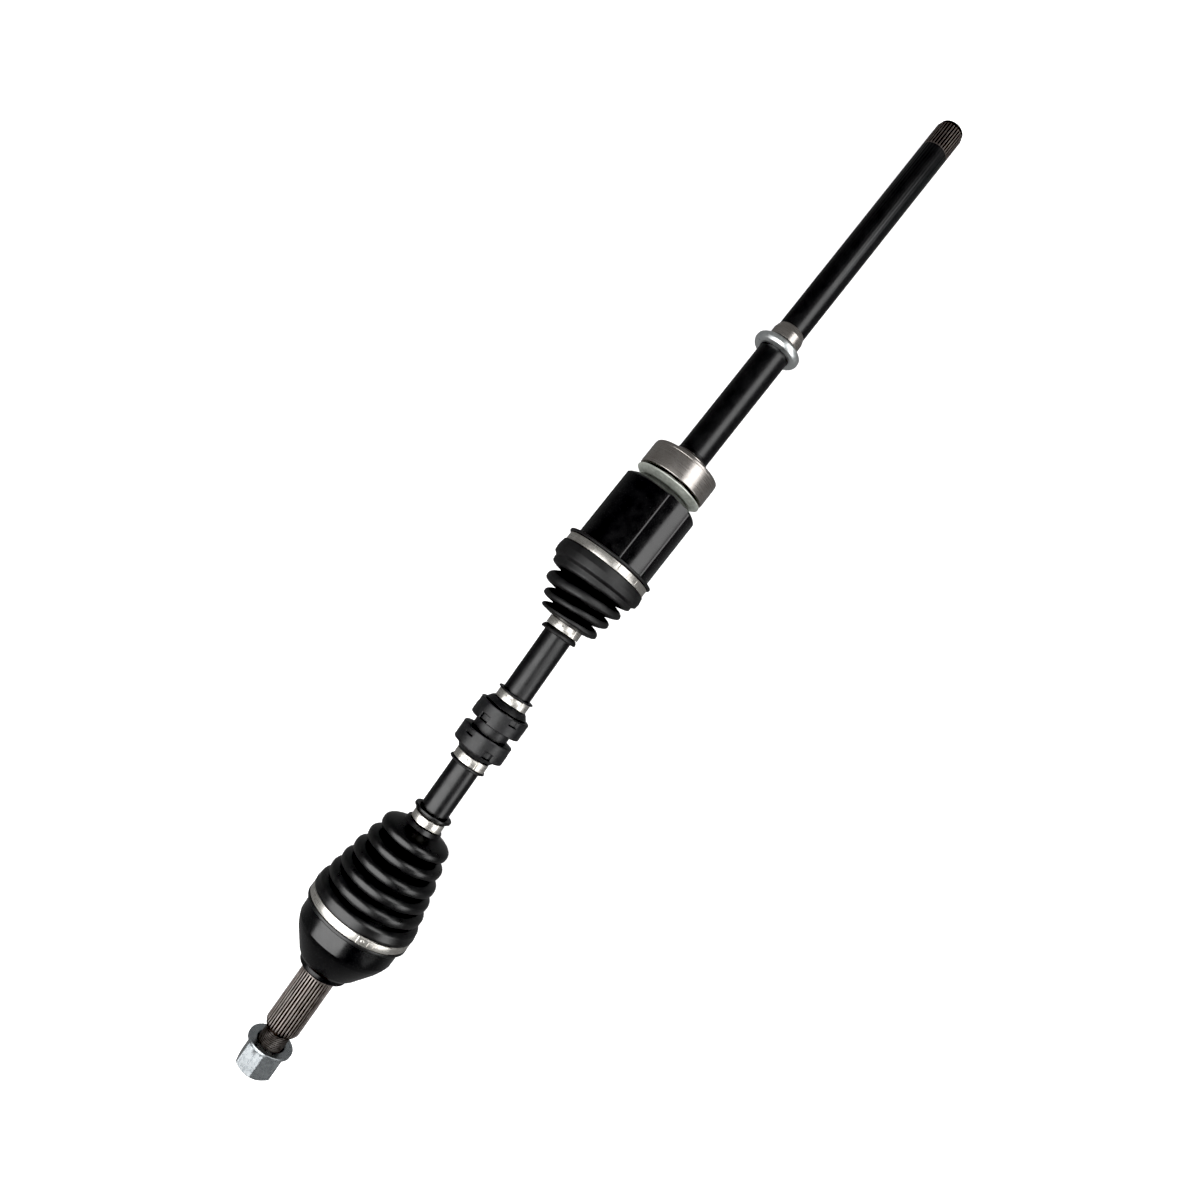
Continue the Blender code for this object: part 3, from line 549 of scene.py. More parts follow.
def dark_thread():
    s = Surface("phosphated_thread", "ground_steel")
    s.set(metallic=1.0)
    cloud = s.noise(2.5, 3.0)
    s.colour(s.ramp(cloud, 0.3, 0.7, (0.10, 0.092, 0.088), (0.20, 0.185, 0.175)))
    s.rough(s.ramp(cloud, 0.3, 0.7, 0.34, 0.5))
    s.bump((s.noise(0.2, 2.0), 0.2, 0.02))
    return s.done()


PAINT = black_paint("gloss_black_paint", 0.17, 0.26)
SATIN = black_paint("satin_black_paint", 0.30, 0.38)
RUBBER = boot_rubber("satin_boot_rubber", 0.27, 0.36)
DULL_RUBBER = boot_rubber("dull_boot_rubber", 0.46, 0.58)
DAMPER = damper_rubber()
CLAMP = clamp_steel()
STEEL = ground_steel()
NUT_ZINC = bright_zinc("blue_zinc_plate", (0.44, 0.475, 0.50), (0.58, 0.61, 0.625), 0.24, 0.32)
ZINC = bright_zinc("bright_zinc_plate", (0.72, 0.755, 0.76), (0.86, 0.885, 0.88), 0.27, 0.42)
OLIVE = olive_zinc()
# Both spline looks carry painted shade in their tooth roots
STUB_SPLINE_ROOT_SHADE = oiled_steel_with_painted_root_shade("oiled_stub_spline_painted_root_shade", 13.5, 14.75)
TIP_SPLINE_ROOT_SHADE = oiled_steel_with_painted_root_shade("oiled_tip_spline_painted_root_shade", 11.3, 12.35)
THREAD = dark_thread()
INSIDE_STEEL = ground_steel(False, "ground_steel_inside")

for node in frame["nodes"].values():
    node.data.materials.clear()
    node.data.materials.append(INSIDE_STEEL["material"])


# ---------------------------------------------------------------- outer joint

OUTER_CENTRE = -375.5
SHOULDER = -415.5
BELL_MOUTH = -355.5
CAVITY_RADIUS, CAVITY_END = 32.8, -402.5
STUB_TEETH = 34
STUB_TIP, STUB_ROOT = 14.8, 13.3
SPLINE_END, SPLINE_CHAMFER, CHAMFER_RADIUS = -470.8, 3.0, 12.6
STUB_FACE, THREAD_START, STUB_END = -472.5, -472.3, -504.0
BALLS = 6
BALL_CIRCLE, BALL_GROOVE = 28.5, 10.2


def teeth(count, root, sharpness=2.4):
    """Radii of a splined row: rounded lands between narrower roots."""
    def shape(x, r, angles):
        wave = 0.5 + 0.5 * np.cos(angles * count)
        land = np.clip((wave - 0.18) * sharpness, 0, 1)
        land = land * land * (3 - 2 * land)
        return root + max(r - root, 0.0) * land
    return shape


def grooved(x, r, angles):
    """Radii of the bell's cavity with its ball grooves."""
    path = math.sqrt(max(BALL_CIRCLE ** 2 - (x - OUTER_CENTRE) ** 2, 0.0))
    apart = np.mod(angles - math.pi / 2 + math.pi / BALLS, TAU / BALLS) - math.pi / BALLS
    off = path * np.sin(apart)
    inside = np.abs(off) < BALL_GROOVE
    deep = path * np.cos(apart) + np.sqrt(np.where(inside, BALL_GROOVE ** 2 - off ** 2, 0.0))
    return np.where(inside, np.maximum(r, deep), r)


def make_outer_bell():
    """The splined stub, the lip, cone and rim from SHOULDER on, then the grooved cavity."""
    stub = [(STUB_FACE, 0.0), (STUB_FACE, 9.9), (-471.3, 9.9), (-470.9, 10.4), (SPLINE_END, 12.4, "spline")]
    for k in range(1, 6):
        rise = (STUB_TIP - CHAMFER_RADIUS) * math.sin(k / 5 * math.pi / 2)
        stub.append((SPLINE_END + SPLINE_CHAMFER * k / 5, CHAMFER_RADIUS + rise, "spline"))
    stub += [(x, STUB_TIP, "spline") for x in np.linspace(-465.0, SHOULDER - 5.9, 12)]
    run_out = [(-4.7, STUB_TIP, "shallow"), (-3.7, STUB_TIP, "faint"), (-2.9, STUB_TIP)]
    lip = [(-2.6, STUB_TIP), (-2.2, 13.4, 0.5), (-0.2, 13.4, 0.4), (-0.1, 14.2, 0.4), (0.0, 17.8, 0.4),
           (0.6, 21.3, 1.4), (4.6, 21.3, 0.3), (6.4, 24.4, 0.6), (9.0, 27.0, 1.5), (24.0, 37.8),
           (29.2, 40.6, 1.5), (33.0, 42.1, 1.0), (39.5, 42.3)]
    run_out, lip = ([(SHOULDER + x, *rest) for x, *rest in part] for part in (run_out, lip))
    outside = fillet(lip + [(BELL_MOUTH - 0.4, 42.3)], 5)
    inside = [(BELL_MOUTH, 41.9), (BELL_MOUTH, 37.2), (-361.5, 34.9, "cavity"), (-368.0, 32.4, "cavity")]
    for k in range(13):
        a = math.radians(8 - 62 * k / 12)
        x, r = OUTER_CENTRE + CAVITY_RADIUS * math.sin(a), CAVITY_RADIUS * math.cos(a)
        inside.append((x, r, "cavity"))
    inside += [(CAVITY_END, 17.0), (CAVITY_END, 0.0)]
    shapes = {"spline": teeth(STUB_TEETH, STUB_ROOT), "shallow": teeth(STUB_TEETH, 13.7),
              "faint": teeth(STUB_TEETH, 14.3), "cavity": grooved}
    return revolve(stub + run_out + outside + inside, STUB_TEETH * 8, shapes)


def paint_part(made, look, test):
    """Gives a second material to the faces whose middle's place along the line passes the test."""
    made.data.materials.append(look["material"])
    kept = np.zeros(len(made.data.vertices) * 3, np.float32)
    made.data.attributes["line"].data.foreach_get("vector", kept)
    kept = kept.reshape(-1, 3)
    for face in made.data.polygons:
        if test(kept[list(face.vertices), 0].mean()):
            face.material_index = len(made.data.materials) - 1


bell = piece("outer_joint_bell", [make_outer_bell()], on_bar, PAINT, "wheel_stub",
             ["outer_joint_housing"])
paint_part(bell, STUB_SPLINE_ROOT_SHADE, lambda x: x < SHOULDER - 2.3)


def thread_shell(start, end, radius, pitch, depth, around=72, per_turn=6):
    """A real helical thread: each point's radius follows the helix through its place."""
    count = int((end - start) / pitch * per_turn)
    xs = np.linspace(start, end, count)
    rows = [(start, 0.0), (start, radius - depth - 0.6)]
    rows += [(x, radius, "thread") for x in xs]
    rows += [(end, radius - depth - 0.2), (end, 0.0)]

    def shape(x, r, angles):
        phase = np.mod(x / pitch - angles / TAU, 1.0)
        wave = np.clip(np.abs(phase - 0.5) * 2.6 - 0.15, 0, 1)
        ease = min(1.0, (x - start) / 1.2 + 0.05)
        return r - depth * wave - (1 - ease) * 1.0
    return revolve(rows, around, {"thread": shape})


piece("stub_thread", [thread_shell(STUB_END, THREAD_START, radius=11.0, pitch=1.5, depth=0.92)],
      on_bar, THREAD, "wheel_stub", sharp=60)

NUT_FACE, NUT_SEAT = -508.0, -484.0
NUT_FLAT, NUT_CORNER, NUT_TURN = 15.0, 17.05, math.radians(8)
NUT_BODY, NUT_BORE, FLANGE_RADIUS = 17.4, 11.25, 19.3


def hexagon(angles):
    apart = np.mod(angles - NUT_TURN + math.pi / 6, math.pi / 3) - math.pi / 6
    return np.minimum(NUT_FLAT / np.cos(apart), NUT_CORNER)


def make_nut():
    """Chamfered hexagon, its flare and its round flange. Flare and flange places run back from the seat."""
    rows = [(NUT_FACE, 12.1), (NUT_FACE, 14.4)]
    rows += [(NUT_FACE + 2.0 * k / 8, 14.5 + 2.9 * k / 8, "under") for k in range(9)]
    rows += [(NUT_FACE + x, NUT_BODY, "under") for x in (5.0, 10.0, 15.0)]
    flare = [(5.8, 14.2), (4.6, 15.2), (3.8, 16.3), (3.2, 17.5), (2.8, 18.5)]
    rows += [(NUT_SEAT - x, r, "over") for x, r in flare]
    flange = [(2.6, 19.0), (2.3, FLANGE_RADIUS, 0.3), (0.3, FLANGE_RADIUS, 0.35), (0.0, 18.9, 0.2),
              (0.0, 12.7, 0.2), (1.5, NUT_BORE, 0.2)]
    bore = [(NUT_FACE + 0.8, NUT_BORE), (NUT_FACE, 12.1)]
    rows += fillet([(NUT_SEAT - x, *rest) for x, *rest in flange] + bore)[:-1]
    shapes = {"under": lambda x, r, angles: np.minimum(hexagon(angles), r),
              "over": lambda x, r, angles: np.maximum(hexagon(angles), r)}
    return revolve(rows, 288, shapes)


piece("hub_nut", [make_nut()], on_bar, NUT_ZINC, "wheel_stub", ["axle_nut"], sharp=24)


# ---------------------------------------------------------------- clamps

BAND_THICKNESS, BAND_EASE = 0.8, 0.28
LARGE_LAP, SMALL_LAP, LAP_SUNK = 0.75, 0.6, 0.2


def strap(centre, width, inside, outside, ease):
    """The section of a flat strap with eased edges."""
    low, high = centre - width / 2, centre + width / 2
    corners = [(low, inside, ease), (low, outside, ease), (high, outside, ease), (high, inside, ease)]
    return fillet(corners, 3, closed=True)


def band(centre, width, outside, around=128):
    """A flat steel band, all the way round."""
    return revolve(strap(centre, width, outside - BAND_THICKNESS, outside, BAND_EASE), around)


def slab(centre, width, inside, outside, start, end, ease=0.25, steps=24):
    """A flat strap from start to end degrees."""
    return swept(strap(centre, width, inside, outside, ease), start, end, steps)


def large_clamp(centre, width, outside, start, end, hooks, dome):
    """Band whose tail laps over it from start to end, with a locating dome and folded hooks."""
    shells = [band(centre, width, outside)]
    shells.append(slab(centre, width - 0.3, outside - LAP_SUNK, outside + LARGE_LAP, start, end))
    top = outside + LARGE_LAP
    if dome is not None:
        shells.append(stud(centre, dome, top - 0.05, width * 0.27, 0.55))
    for place, span in hooks:
        shells.append(slab(centre, width * 0.62, top - 0.1, top + 0.45, place, place + span, 0.2, 5))
    return shells


outer_hooks, inner_hooks = [(112.5, 4.0), (119.0, 3.2)], [(118.5, 1.2), (133.0, 1.5)]
piece("outer_clamp_large", large_clamp(-361.4, 6.4, 45.7, 101, 139, outer_hooks, dome=106.5),
      on_bar, CLAMP, "wheel_stub", ["outer_boot_large_clamp"])
piece("inner_clamp_large", large_clamp(-23.3, 6.6, 39.0, 104, 141, inner_hooks, dome=None),
      on_shaft, CLAMP, "inboard_shaft", ["inner_boot_large_clamp"])


def small_clamp(centre, width, outside, lap_start, lap_end, ear_start, ear_end):
    """Small band with a lapped tail and the raised, pressed ear that draws it tight."""
    shells = [band(centre, width, outside, around=96)]
    top = outside + SMALL_LAP
    shells.append(slab(centre, width - 0.3, outside - LAP_SUNK, top, lap_start, lap_end, 0.22, 16))
    shells.append(slab(centre + 0.3, width + 0.8, outside + 0.1, outside + 1.5, ear_start, ear_end, 0.5, 10))
    shells.append(stud(centre, (lap_start + ear_start) / 2 - 8, outside + 0.5, width * 0.2, 0.45))
    return shells


# Centre, width and outside radius, then where the lap and the ear start and end, and the CAD node
SMALL_CLAMPS = {
    "outer_clamp_small": (-272.2, 6.8, 13.7, 62, 150, 128, 160, "outer_boot_small_clamp"),
    "damper_band_outboard": (-213.2, 7.0, 14.7, 70, 150, 114, 158, "damper_clamp_outboard"),
    "damper_band_inboard": (-155.4, 6.8, 14.3, 66, 150, 124, 158, "damper_clamp_inboard"),
    "inner_clamp_small": (-84.4, 6.8, 14.6, 60, 158, 130, 164, "inner_boot_small_clamp"),
}
for name, (centre, width, outside, *laps, node) in SMALL_CLAMPS.items():
    piece(name, small_clamp(centre, width, outside, *laps), on_bar, CLAMP, "bar", [node])


# ---------------------------------------------------------------- boots

def shell_between(outer, inner, start, end, around=160):
    """A piece of a boot's wall between two distances, closed at its cut ends."""
    outside, inside = cut(outer, start, end), cut(inner, start, end)
    return revolve(outside + inside[::-1], around)


# Crests and valleys in turn
OUTER_FOLDS = [(-352.4, 45.4), (-346.7, 40.6), (-341.0, 42.8), (-335.1, 37.6), (-329.2, 40.2),
               (-323.0, 34.2), (-316.7, 37.6), (-309.7, 29.6), (-302.7, 34.0), (-295.9, 24.6),
               (-289.1, 30.5), (-281.6, 20.0)]
OUTER_WALL = 2.0


def outer_boot_lines():
    """Outside and inside: band seat at the bell, the folds, band seat and rolled lip on the bar."""
    outer = [(-367.7, 43.4), (-367.7, 45.8, 0.6), (-364.9, 45.8, 0.5), (-364.9, 44.6, 0.3),
             (-357.9, 44.6, 0.3), (-357.9, 45.9, 0.6), (-355.7, 46.0, 1.0)]
    outer += folds(OUTER_FOLDS)
    outer += [(-279.8, 16.8, 1.5), (-276.0, 15.6, 0.6), (-276.0, 12.6, 0.3), (-268.4, 12.6, 0.3),
              (-268.4, 14.2, 0.5), (-267.5, 14.8, 0.6), (-265.9, 16.9, 0.6), (-264.0, 16.8, 0.6),
              (-263.7, 15.8, 0.5), (-263.7, 12.9)]
    inner = [(-367.7, 42.7), (-355.1, 42.7)]
    inner += folds(OUTER_FOLDS, OUTER_WALL, count=5)
    inner += [(-280.0, 14.6, 1.5), (-279.2, 12.9), (-276.9, 12.9), (-276.8, 10.95), (-267.6, 10.95),
              (-267.5, 12.9), (-263.7, 12.9)]
    return fillet(outer, 6), fillet(inner, 4)


outer_line, outer_inside = outer_boot_lines()
# The wall is split at its seams into separate parts
OUTER_SEAMS = (-341.0, -329.2)
STUB_GRIP, BAR_GRIP = -355.3, -282.5


def spot(place, x):
    return tuple(place(np.array([[x, 0.0, 0.0]]))[0])


def blended(name, shell, place, look, node, bodies, start, end):
    made = piece(name, [shell], place, look)
    spot(place, start)
    spot(place, end)
    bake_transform(made)
    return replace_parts(made, node)


blended("outer_boot_large_end", shell_between(outer_line, outer_inside, -math.inf, OUTER_SEAMS[0]),
        on_bar, RUBBER, "outer_boot", ("wheel_stub", "outer_boot"), STUB_GRIP, OUTER_SEAMS[0])
blended("outer_boot_middle", shell_between(outer_line, outer_inside, *OUTER_SEAMS), on_bar, RUBBER,
        "outer_boot", ("outer_boot", "outer_cage"), *OUTER_SEAMS)
blended("outer_boot_small_end", shell_between(outer_line, outer_inside, OUTER_SEAMS[1], math.inf),
        on_bar, RUBBER, "outer_boot", ("outer_cage", "bar"), OUTER_SEAMS[1], BAR_GRIP)

# Valleys and crests in turn
INNER_FOLDS = [(-80.7, 15.4), (-76.8, 26.3), (-71.2, 17.4), (-65.7, 29.9), (-60.0, 22.2), (-54.5, 34.6),
               (-47.2, 25.8), (-42.4, 37.3)]
INNER_WALL = 2.2


def inner_boot_lines():
    """Outside and inside: lip and band seat on the bar, the folds, the collar and its band seat."""
    outer = [(-92.8, 12.9), (-92.8, 15.6, 0.5), (-92.0, 16.4, 0.5), (-90.2, 16.0, 1.0), (-88.3, 14.6, 0.5),
             (-88.2, 13.5, 0.3), (-80.8, 13.5, 0.3)]
    outer += folds(INNER_FOLDS)
    outer += [(-39.8, 37.4, 0.8), (-37.8, 40.4, 1.2), (-32.8, 40.9, 1.5), (-27.1, 40.0, 0.4),
              (-27.0, 37.9, 0.3), (-19.6, 37.9, 0.3), (-19.5, 39.8, 0.5), (-18.6, 40.8, 0.6),
              (-17.2, 40.5, 0.6), (-17.0, 39.8), (-17.0, 36.0)]
    inner = [(-92.8, 12.9), (-89.0, 12.9), (-88.9, 10.95), (-79.9, 10.95), (-79.8, 12.9), (-79.2, 13.2)]
    inner += folds(INNER_FOLDS[1:], INNER_WALL, count=5)
    inner += [(-38.8, 35.2, 0.8), (-36.4, 38.2, 1.0), (-32.0, 38.2, 0.5), (-31.0, 36.0, 0.4), (-17.0, 36.0)]
    return fillet(outer, 6), fillet(inner, 4)


inner_line, inner_inside = inner_boot_lines()
INNER_GRIP, BAR_SEAM, COLLAR_SEAM = -80.3, -54.5, -29.0
blended("inner_boot_small_end", shell_between(inner_line, inner_inside, -math.inf, BAR_SEAM),
        on_bend, DULL_RUBBER, "inner_boot", ("bar", "inner_boot"), INNER_GRIP, BAR_SEAM)
squashed = piece("inner_boot_folds", [shell_between(inner_line, inner_inside, BAR_SEAM, COLLAR_SEAM)],
                 on_bend, DULL_RUBBER, "inboard_shaft", ["inner_boot"])
spot(on_shaft, COLLAR_SEAM)
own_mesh(squashed)
piece("inner_boot_collar", [shell_between(inner_line, inner_inside, COLLAR_SEAM, math.inf)],
      on_bend, DULL_RUBBER, "inboard_shaft", ["inner_boot"])


# ---------------------------------------------------------------- bar and damper

BAR_RADIUS, BAR_END_RADIUS, BAR_GROOVE_RADIUS = 12.5, 11.5, 10.6


def make_bar():
    """The bar with the two grooves that hold the boots, and its slimmer ends."""
    end, full, groove = BAR_END_RADIUS, BAR_RADIUS, BAR_GROOVE_RADIUS
    rows = [(-389.0, 0.0), (-389.0, end - 0.6), (-388.4, end), (-333.5, end), (-329.5, full),
            (-277.1, full), (-277.0, groove), (-267.3, groove), (-267.2, full), (-89.4, full),
            (-89.3, groove), (-79.5, groove), (-79.4, full), (-54.0, full), (-48.0, end), (12.4, end),
            (13.0, end - 0.6), (13.0, 0.0)]
    return revolve(rows, 96)


piece("bar", [make_bar()], on_bar, SATIN, "bar", ["axle_bar"])

SLEEVE_BORE = 12.8


def make_sleeve():
    """The damper's sleeve: a lip and a band seat at each end, and a collar beside each mass."""
    outboard = [(-219.2, SLEEVE_BORE), (-219.2, 15.4, 0.4), (-218.6, 16.3, 0.4), (-217.2, 15.8, 0.4),
                (-217.1, 13.6, 0.3), (-209.3, 13.6, 0.3), (-209.2, 14.9, 0.5), (-207.6, 15.9, 1.2),
                (-204.9, 18.4, 0.3), (-204.7, 15.9)]
    inboard = [(-164.6, 15.9), (-164.4, 19.4, 0.3), (-160.4, 16.4, 2.0), (-159.2, 14.9, 0.5),
               (-159.1, 13.2, 0.3), (-151.7, 13.2, 0.3), (-151.6, 15.6, 0.4), (-151.0, 16.3, 0.3),
               (-150.2, 16.0, 0.3), (-150.0, SLEEVE_BORE)]
    return revolve(fillet(outboard + inboard, 5), 128)


piece("damper_rubber_sleeve", [make_sleeve()], on_bar, DAMPER, "bar", ["damper_sleeve"])

MASS_RADIUS, MASS_BORE = 22.7, 16.2
POCKETS = 3
POCKET_DEPTH, POCKET_HALF = 2.3, math.radians(10.5)
POCKET_START, POCKET_END, POCKET_WALL = 0.9, 6.3, 0.35


def make_mass(start, end, first_pocket):
    """A damper mass in its rubber skin, with pockets open to one edge and then the other in turn."""
    ease = 1.1
    corners = fillet([(start, MASS_BORE), (start, MASS_RADIUS, ease), (end, MASS_RADIUS, ease),
                      (end, MASS_BORE)], 5)
    flat = [x for x, r in corners if r > MASS_RADIUS - 0.01]
    across = [(x, MASS_RADIUS) for x in np.linspace(flat[0], flat[-1], 30)[1:-1]]
    skin_rows = [p for p in corners if p[0] <= flat[0]] + across + [p for p in corners if p[0] >= flat[-1]]
    rows = [(start, MASS_BORE)]
    rows += [(x, r, "skin") for x, r in skin_rows if r > MASS_BORE]
    rows += [(end, MASS_BORE)]

    def skin(x, r, angles):
        radii = np.full(len(angles), r)
        for k in range(2 * POCKETS):
            near_start = k % 2 == 0
            where = (x - start) if near_start else (end - x)
            depth = np.clip((POCKET_END - where) / POCKET_WALL, 0, 1)
            depth = depth * np.clip((where - POCKET_START) / POCKET_WALL, 0, 1)
            apart = np.abs(np.mod(angles - first_pocket - k * math.pi / POCKETS + math.pi, TAU) - math.pi)
            across = np.clip((POCKET_HALF - apart) / math.radians(1.2), 0, 1)
            radii = radii - depth * across * POCKET_DEPTH
        return radii
    return revolve(rows, 288, {"skin": skin})


piece("damper_weight_outboard", [make_mass(-204.4, -188.6, math.radians(116))], on_bar, DAMPER, "bar",
      ["damper_mass_outboard"])
piece("damper_weight_inboard", [make_mass(-180.6, -165.0, math.radians(64))], on_bar, DAMPER, "bar",
      ["damper_mass_inboard"])


# ---------------------------------------------------------------- tripod housing

HOUSING_RADIUS = 35.6
HOUSING_MOUTH, HOUSING_FLOOR, HOUSING_END = -27.0, 45.0, 52.9
RECESS_HALF = math.radians(20.5)
RECESS_DEPTH = 2.6
TRACK_OUTSIDE, TRACK_HALF_WIDTH = 28.4, 15.9


def recessed(x, r, angles):
    """Radii of the cup's outside, with the three shallow troughs between its tracks."""
    edge = HOUSING_RADIUS * math.sin(RECESS_HALF)
    floor = HOUSING_RADIUS * math.cos(RECESS_HALF) - RECESS_DEPTH
    curve = (edge ** 2 + RECESS_DEPTH ** 2) / (2 * RECESS_DEPTH)
    away = floor + curve
    apart = np.mod(angles + math.pi / 3, TAU / 3) - math.pi / 3
    inside = np.abs(apart) < RECESS_HALF
    root = np.sqrt(np.where(inside, curve ** 2 - (away * np.sin(apart)) ** 2, 0.0))
    return np.where(inside, np.minimum(r, away * np.cos(apart) - root), r)


def tracked(x, r, angles):
    """Radii of the cup's inside: three tracks, and the flare at its mouth."""
    apart = np.mod(angles, TAU / 3) - math.pi / 3
    across = np.maximum(np.abs(np.sin(apart)), 1e-6)
    return np.maximum(np.minimum(TRACK_OUTSIDE / np.cos(apart), TRACK_HALF_WIDTH / across), r)


def make_housing():
    """The cup's tracked inside from floor to mouth, then its recessed outside and rounded end."""
    whole = HOUSING_RADIUS
    outside = [(HOUSING_MOUTH, whole - 0.8), (HOUSING_MOUTH + 0.8, whole), (-16.5, whole),
               (-16.3, whole, "out")]
    outside += [(x, whole, "out") for x in np.linspace(-12, 44, 12)]
    shoulder = fillet([(45.0, whole), (46.2, whole, 1.2), (48.3, 33.4, 2.0), (51.7, 27.2, 1.2),
                       (HOUSING_END, 25.4, 0.6), (HOUSING_END, 20.0)], 5)
    outside += [(x, r, "out") for x, r in shoulder]
    outside += [(HOUSING_END, 16.0), (53.0, 14.3), (46.6, 14.3), (46.6, 0.0)]
    inside = [(HOUSING_FLOOR, 0.0), (HOUSING_FLOOR, 12.0), (HOUSING_FLOOR, 12.5, "in"), (20.0, 12.5, "in"),
              (2.0, 17.6, "in"), (-10.0, 21.2, "in"), (HOUSING_MOUTH, 25.7, "in")]
    return revolve(inside + outside, 288, {"out": recessed, "in": tracked})


piece("tripod_cup", [make_housing()], on_shaft, PAINT, "inboard_shaft", ["tripod_housing"],
      sharp=26)


# ---------------------------------------------------------------- inboard shaft, bearing, shields

SHAFT_RADIUS, JOURNAL_RADIUS = 13.9, 17.2
SHAFT_START, SEAT_START, SEAT_END = 46.9, 214.4, 227.6
TIP_TEETH, TIP_RADIUS, TIP_ROOT = 29, 12.4, 11.2
TIP_SPLINE_START, TIP_END = 430.4, 456.5


def shaft_rows():
    """The tube between the cup and the seal seat, with the bearing's journal."""
    body = fillet([(SHAFT_START, SHAFT_RADIUS), (60.0, SHAFT_RADIUS, 0.4), (60.5, JOURNAL_RADIUS, 0.3),
                   (88.3, JOURNAL_RADIUS, 0.5), (90.0, 14.6, 1.5), (93.0, SHAFT_RADIUS, 2.0),
                   (214.0, SHAFT_RADIUS), (214.3, 13.6), (SEAT_START, 13.6)], 5)
    return [(SHAFT_START, 0.0)] + body + [(SEAT_START, 0.0)]


def seat_rows():
    """The ground seat where the gearbox's oil seal runs."""
    body = fillet([(SEAT_START, 13.0), (SEAT_START, 14.0, 0.3), (222.4, 14.0, 0.8), (226.6, 12.7, 1.2),
                   (SEAT_END, 12.3)], 4)
    return [(SEAT_START, 0.0)] + body + [(SEAT_END, 0.0)]


def tip_rows():
    """The slimmer end with its spline and chamfer."""
    rows = [(SEAT_END, 0.0), (SEAT_END, 12.3), (228.0, TIP_RADIUS), (430.0, TIP_RADIUS),
            (431.0, TIP_RADIUS, "fade"), (432.6, TIP_RADIUS, "spline")]
    rows += [(x, TIP_RADIUS, "spline") for x in np.linspace(436, 451, 6)]
    rows += [(453.1 + 3.4 * k / 5, TIP_RADIUS - 3.0 * k / 5, "spline") for k in range(6)]
    return rows + [(TIP_END, 8.6), (TIP_END, 0.0)]


shaft_tube = piece("inboard_shaft_tube", [revolve(shaft_rows(), 96)], on_shaft, SATIN, "inboard_shaft",
                   ["intermediate_shaft"])
paint_part(shaft_tube, STEEL, lambda x: 60.2 < x < 90.1)
piece("oil_seal_seat", [revolve(seat_rows(), 96)], on_shaft, STEEL, "inboard_shaft")
tip_shapes = {"fade": teeth(TIP_TEETH, 11.9), "spline": teeth(TIP_TEETH, TIP_ROOT)}
tip = piece("inboard_shaft_end", [revolve(tip_rows(), TIP_TEETH * 8, tip_shapes)], on_shaft, SATIN,
            "inboard_shaft")
paint_part(tip, TIP_SPLINE_ROOT_SHADE, lambda x: x > TIP_SPLINE_START)

BEARING_START, BEARING_END = 62.1, 83.9
BEARING_RADIUS, OUTER_RACE_BORE, INNER_RACE_RADIUS = 31.0, 27.4, 21.2
SEAL_WIDTH, SEAL_STEP = 1.2, 0.35
SHIELD_BORE = 14.3


def outer_race_rows():
    """The outer ring: a fine groove round its outside, a ball track and two seal grooves inside."""
    bore = OUTER_RACE_BORE
    return fillet([(BEARING_START, bore, 0.2), (BEARING_START, BEARING_RADIUS, 0.7),
                   (80.5, BEARING_RADIUS, 0.1), (80.7, 30.6, 0.1), (81.1, 30.9, 0.1),
                   (BEARING_END, 30.6, 2.0), (BEARING_END, bore, 0.2), (82.2, bore), (81.9, 27.9),
                   (80.6, bore), (76.4, bore), (74.7, 28.3), (71.3, 28.3), (69.6, bore), (65.4, bore),
                   (64.1, 27.9), (63.8, bore)], 4, closed=True)


def inner_race_rows():
    outside, bore = INNER_RACE_RADIUS, 17.5
    return fillet([(BEARING_START, bore, 0.4), (BEARING_START, outside, 0.4), (69.6, outside),
                   (71.3, 20.3), (74.7, 20.3), (76.4, outside), (BEARING_END, outside, 0.4),
                   (BEARING_END, bore, 0.4)], 4, closed=True)


def seal_rows(face, inwards):
    """A seal with a sunk ring in its face; inwards is 1 or -1."""
    sunk, back = face + inwards * SEAL_STEP, face + inwards * SEAL_WIDTH
    return fillet([(back, 21.8), (face, 21.8, 0.3), (face, 23.0, 0.3), (sunk, 23.6, 0.3),
                   (sunk, 25.6, 0.3), (face, 26.2, 0.3), (face, 27.1, 0.3), (back, 27.1)], 4)


def lock_ring_rows():
    return fillet([(84.4, 17.4, 0.2), (84.4, 20.0, 0.4), (86.0, 20.0, 0.5), (86.0, 17.4, 0.2)], 4,
                  closed=True)


def shield_rows():
    """The thin flared dust shield between the cup and the bearing."""
    return fillet([(53.3, SHIELD_BORE), (53.3, 20.0, 1.0), (54.2, 24.6, 2.0), (57.4, 29.6, 1.5),
                   (58.4, 31.0, 0.6), (59.5, 31.1, 0.4), (59.5, 30.2, 0.3), (58.2, 29.2, 0.8),
                   (55.3, 24.6, 1.5), (54.3, 20.0, 0.8), (54.3, SHIELD_BORE)], 5)


def deflector_rows():
    """The round-backed ring beside the oil seal's seat."""
    return fillet([(202.8, SHIELD_BORE), (202.6, 17.0, 0.4), (203.6, 20.0, 2.0), (206.4, 21.4, 2.5),
                   (209.4, 21.1, 1.6), (211.2, 19.0, 1.2), (212.6, 16.0, 1.0), (212.6, SHIELD_BORE)], 6)


def turned(name, rows, around, look, body, node):
    piece(name, [revolve(rows, around)], on_shaft, look, body, [node])


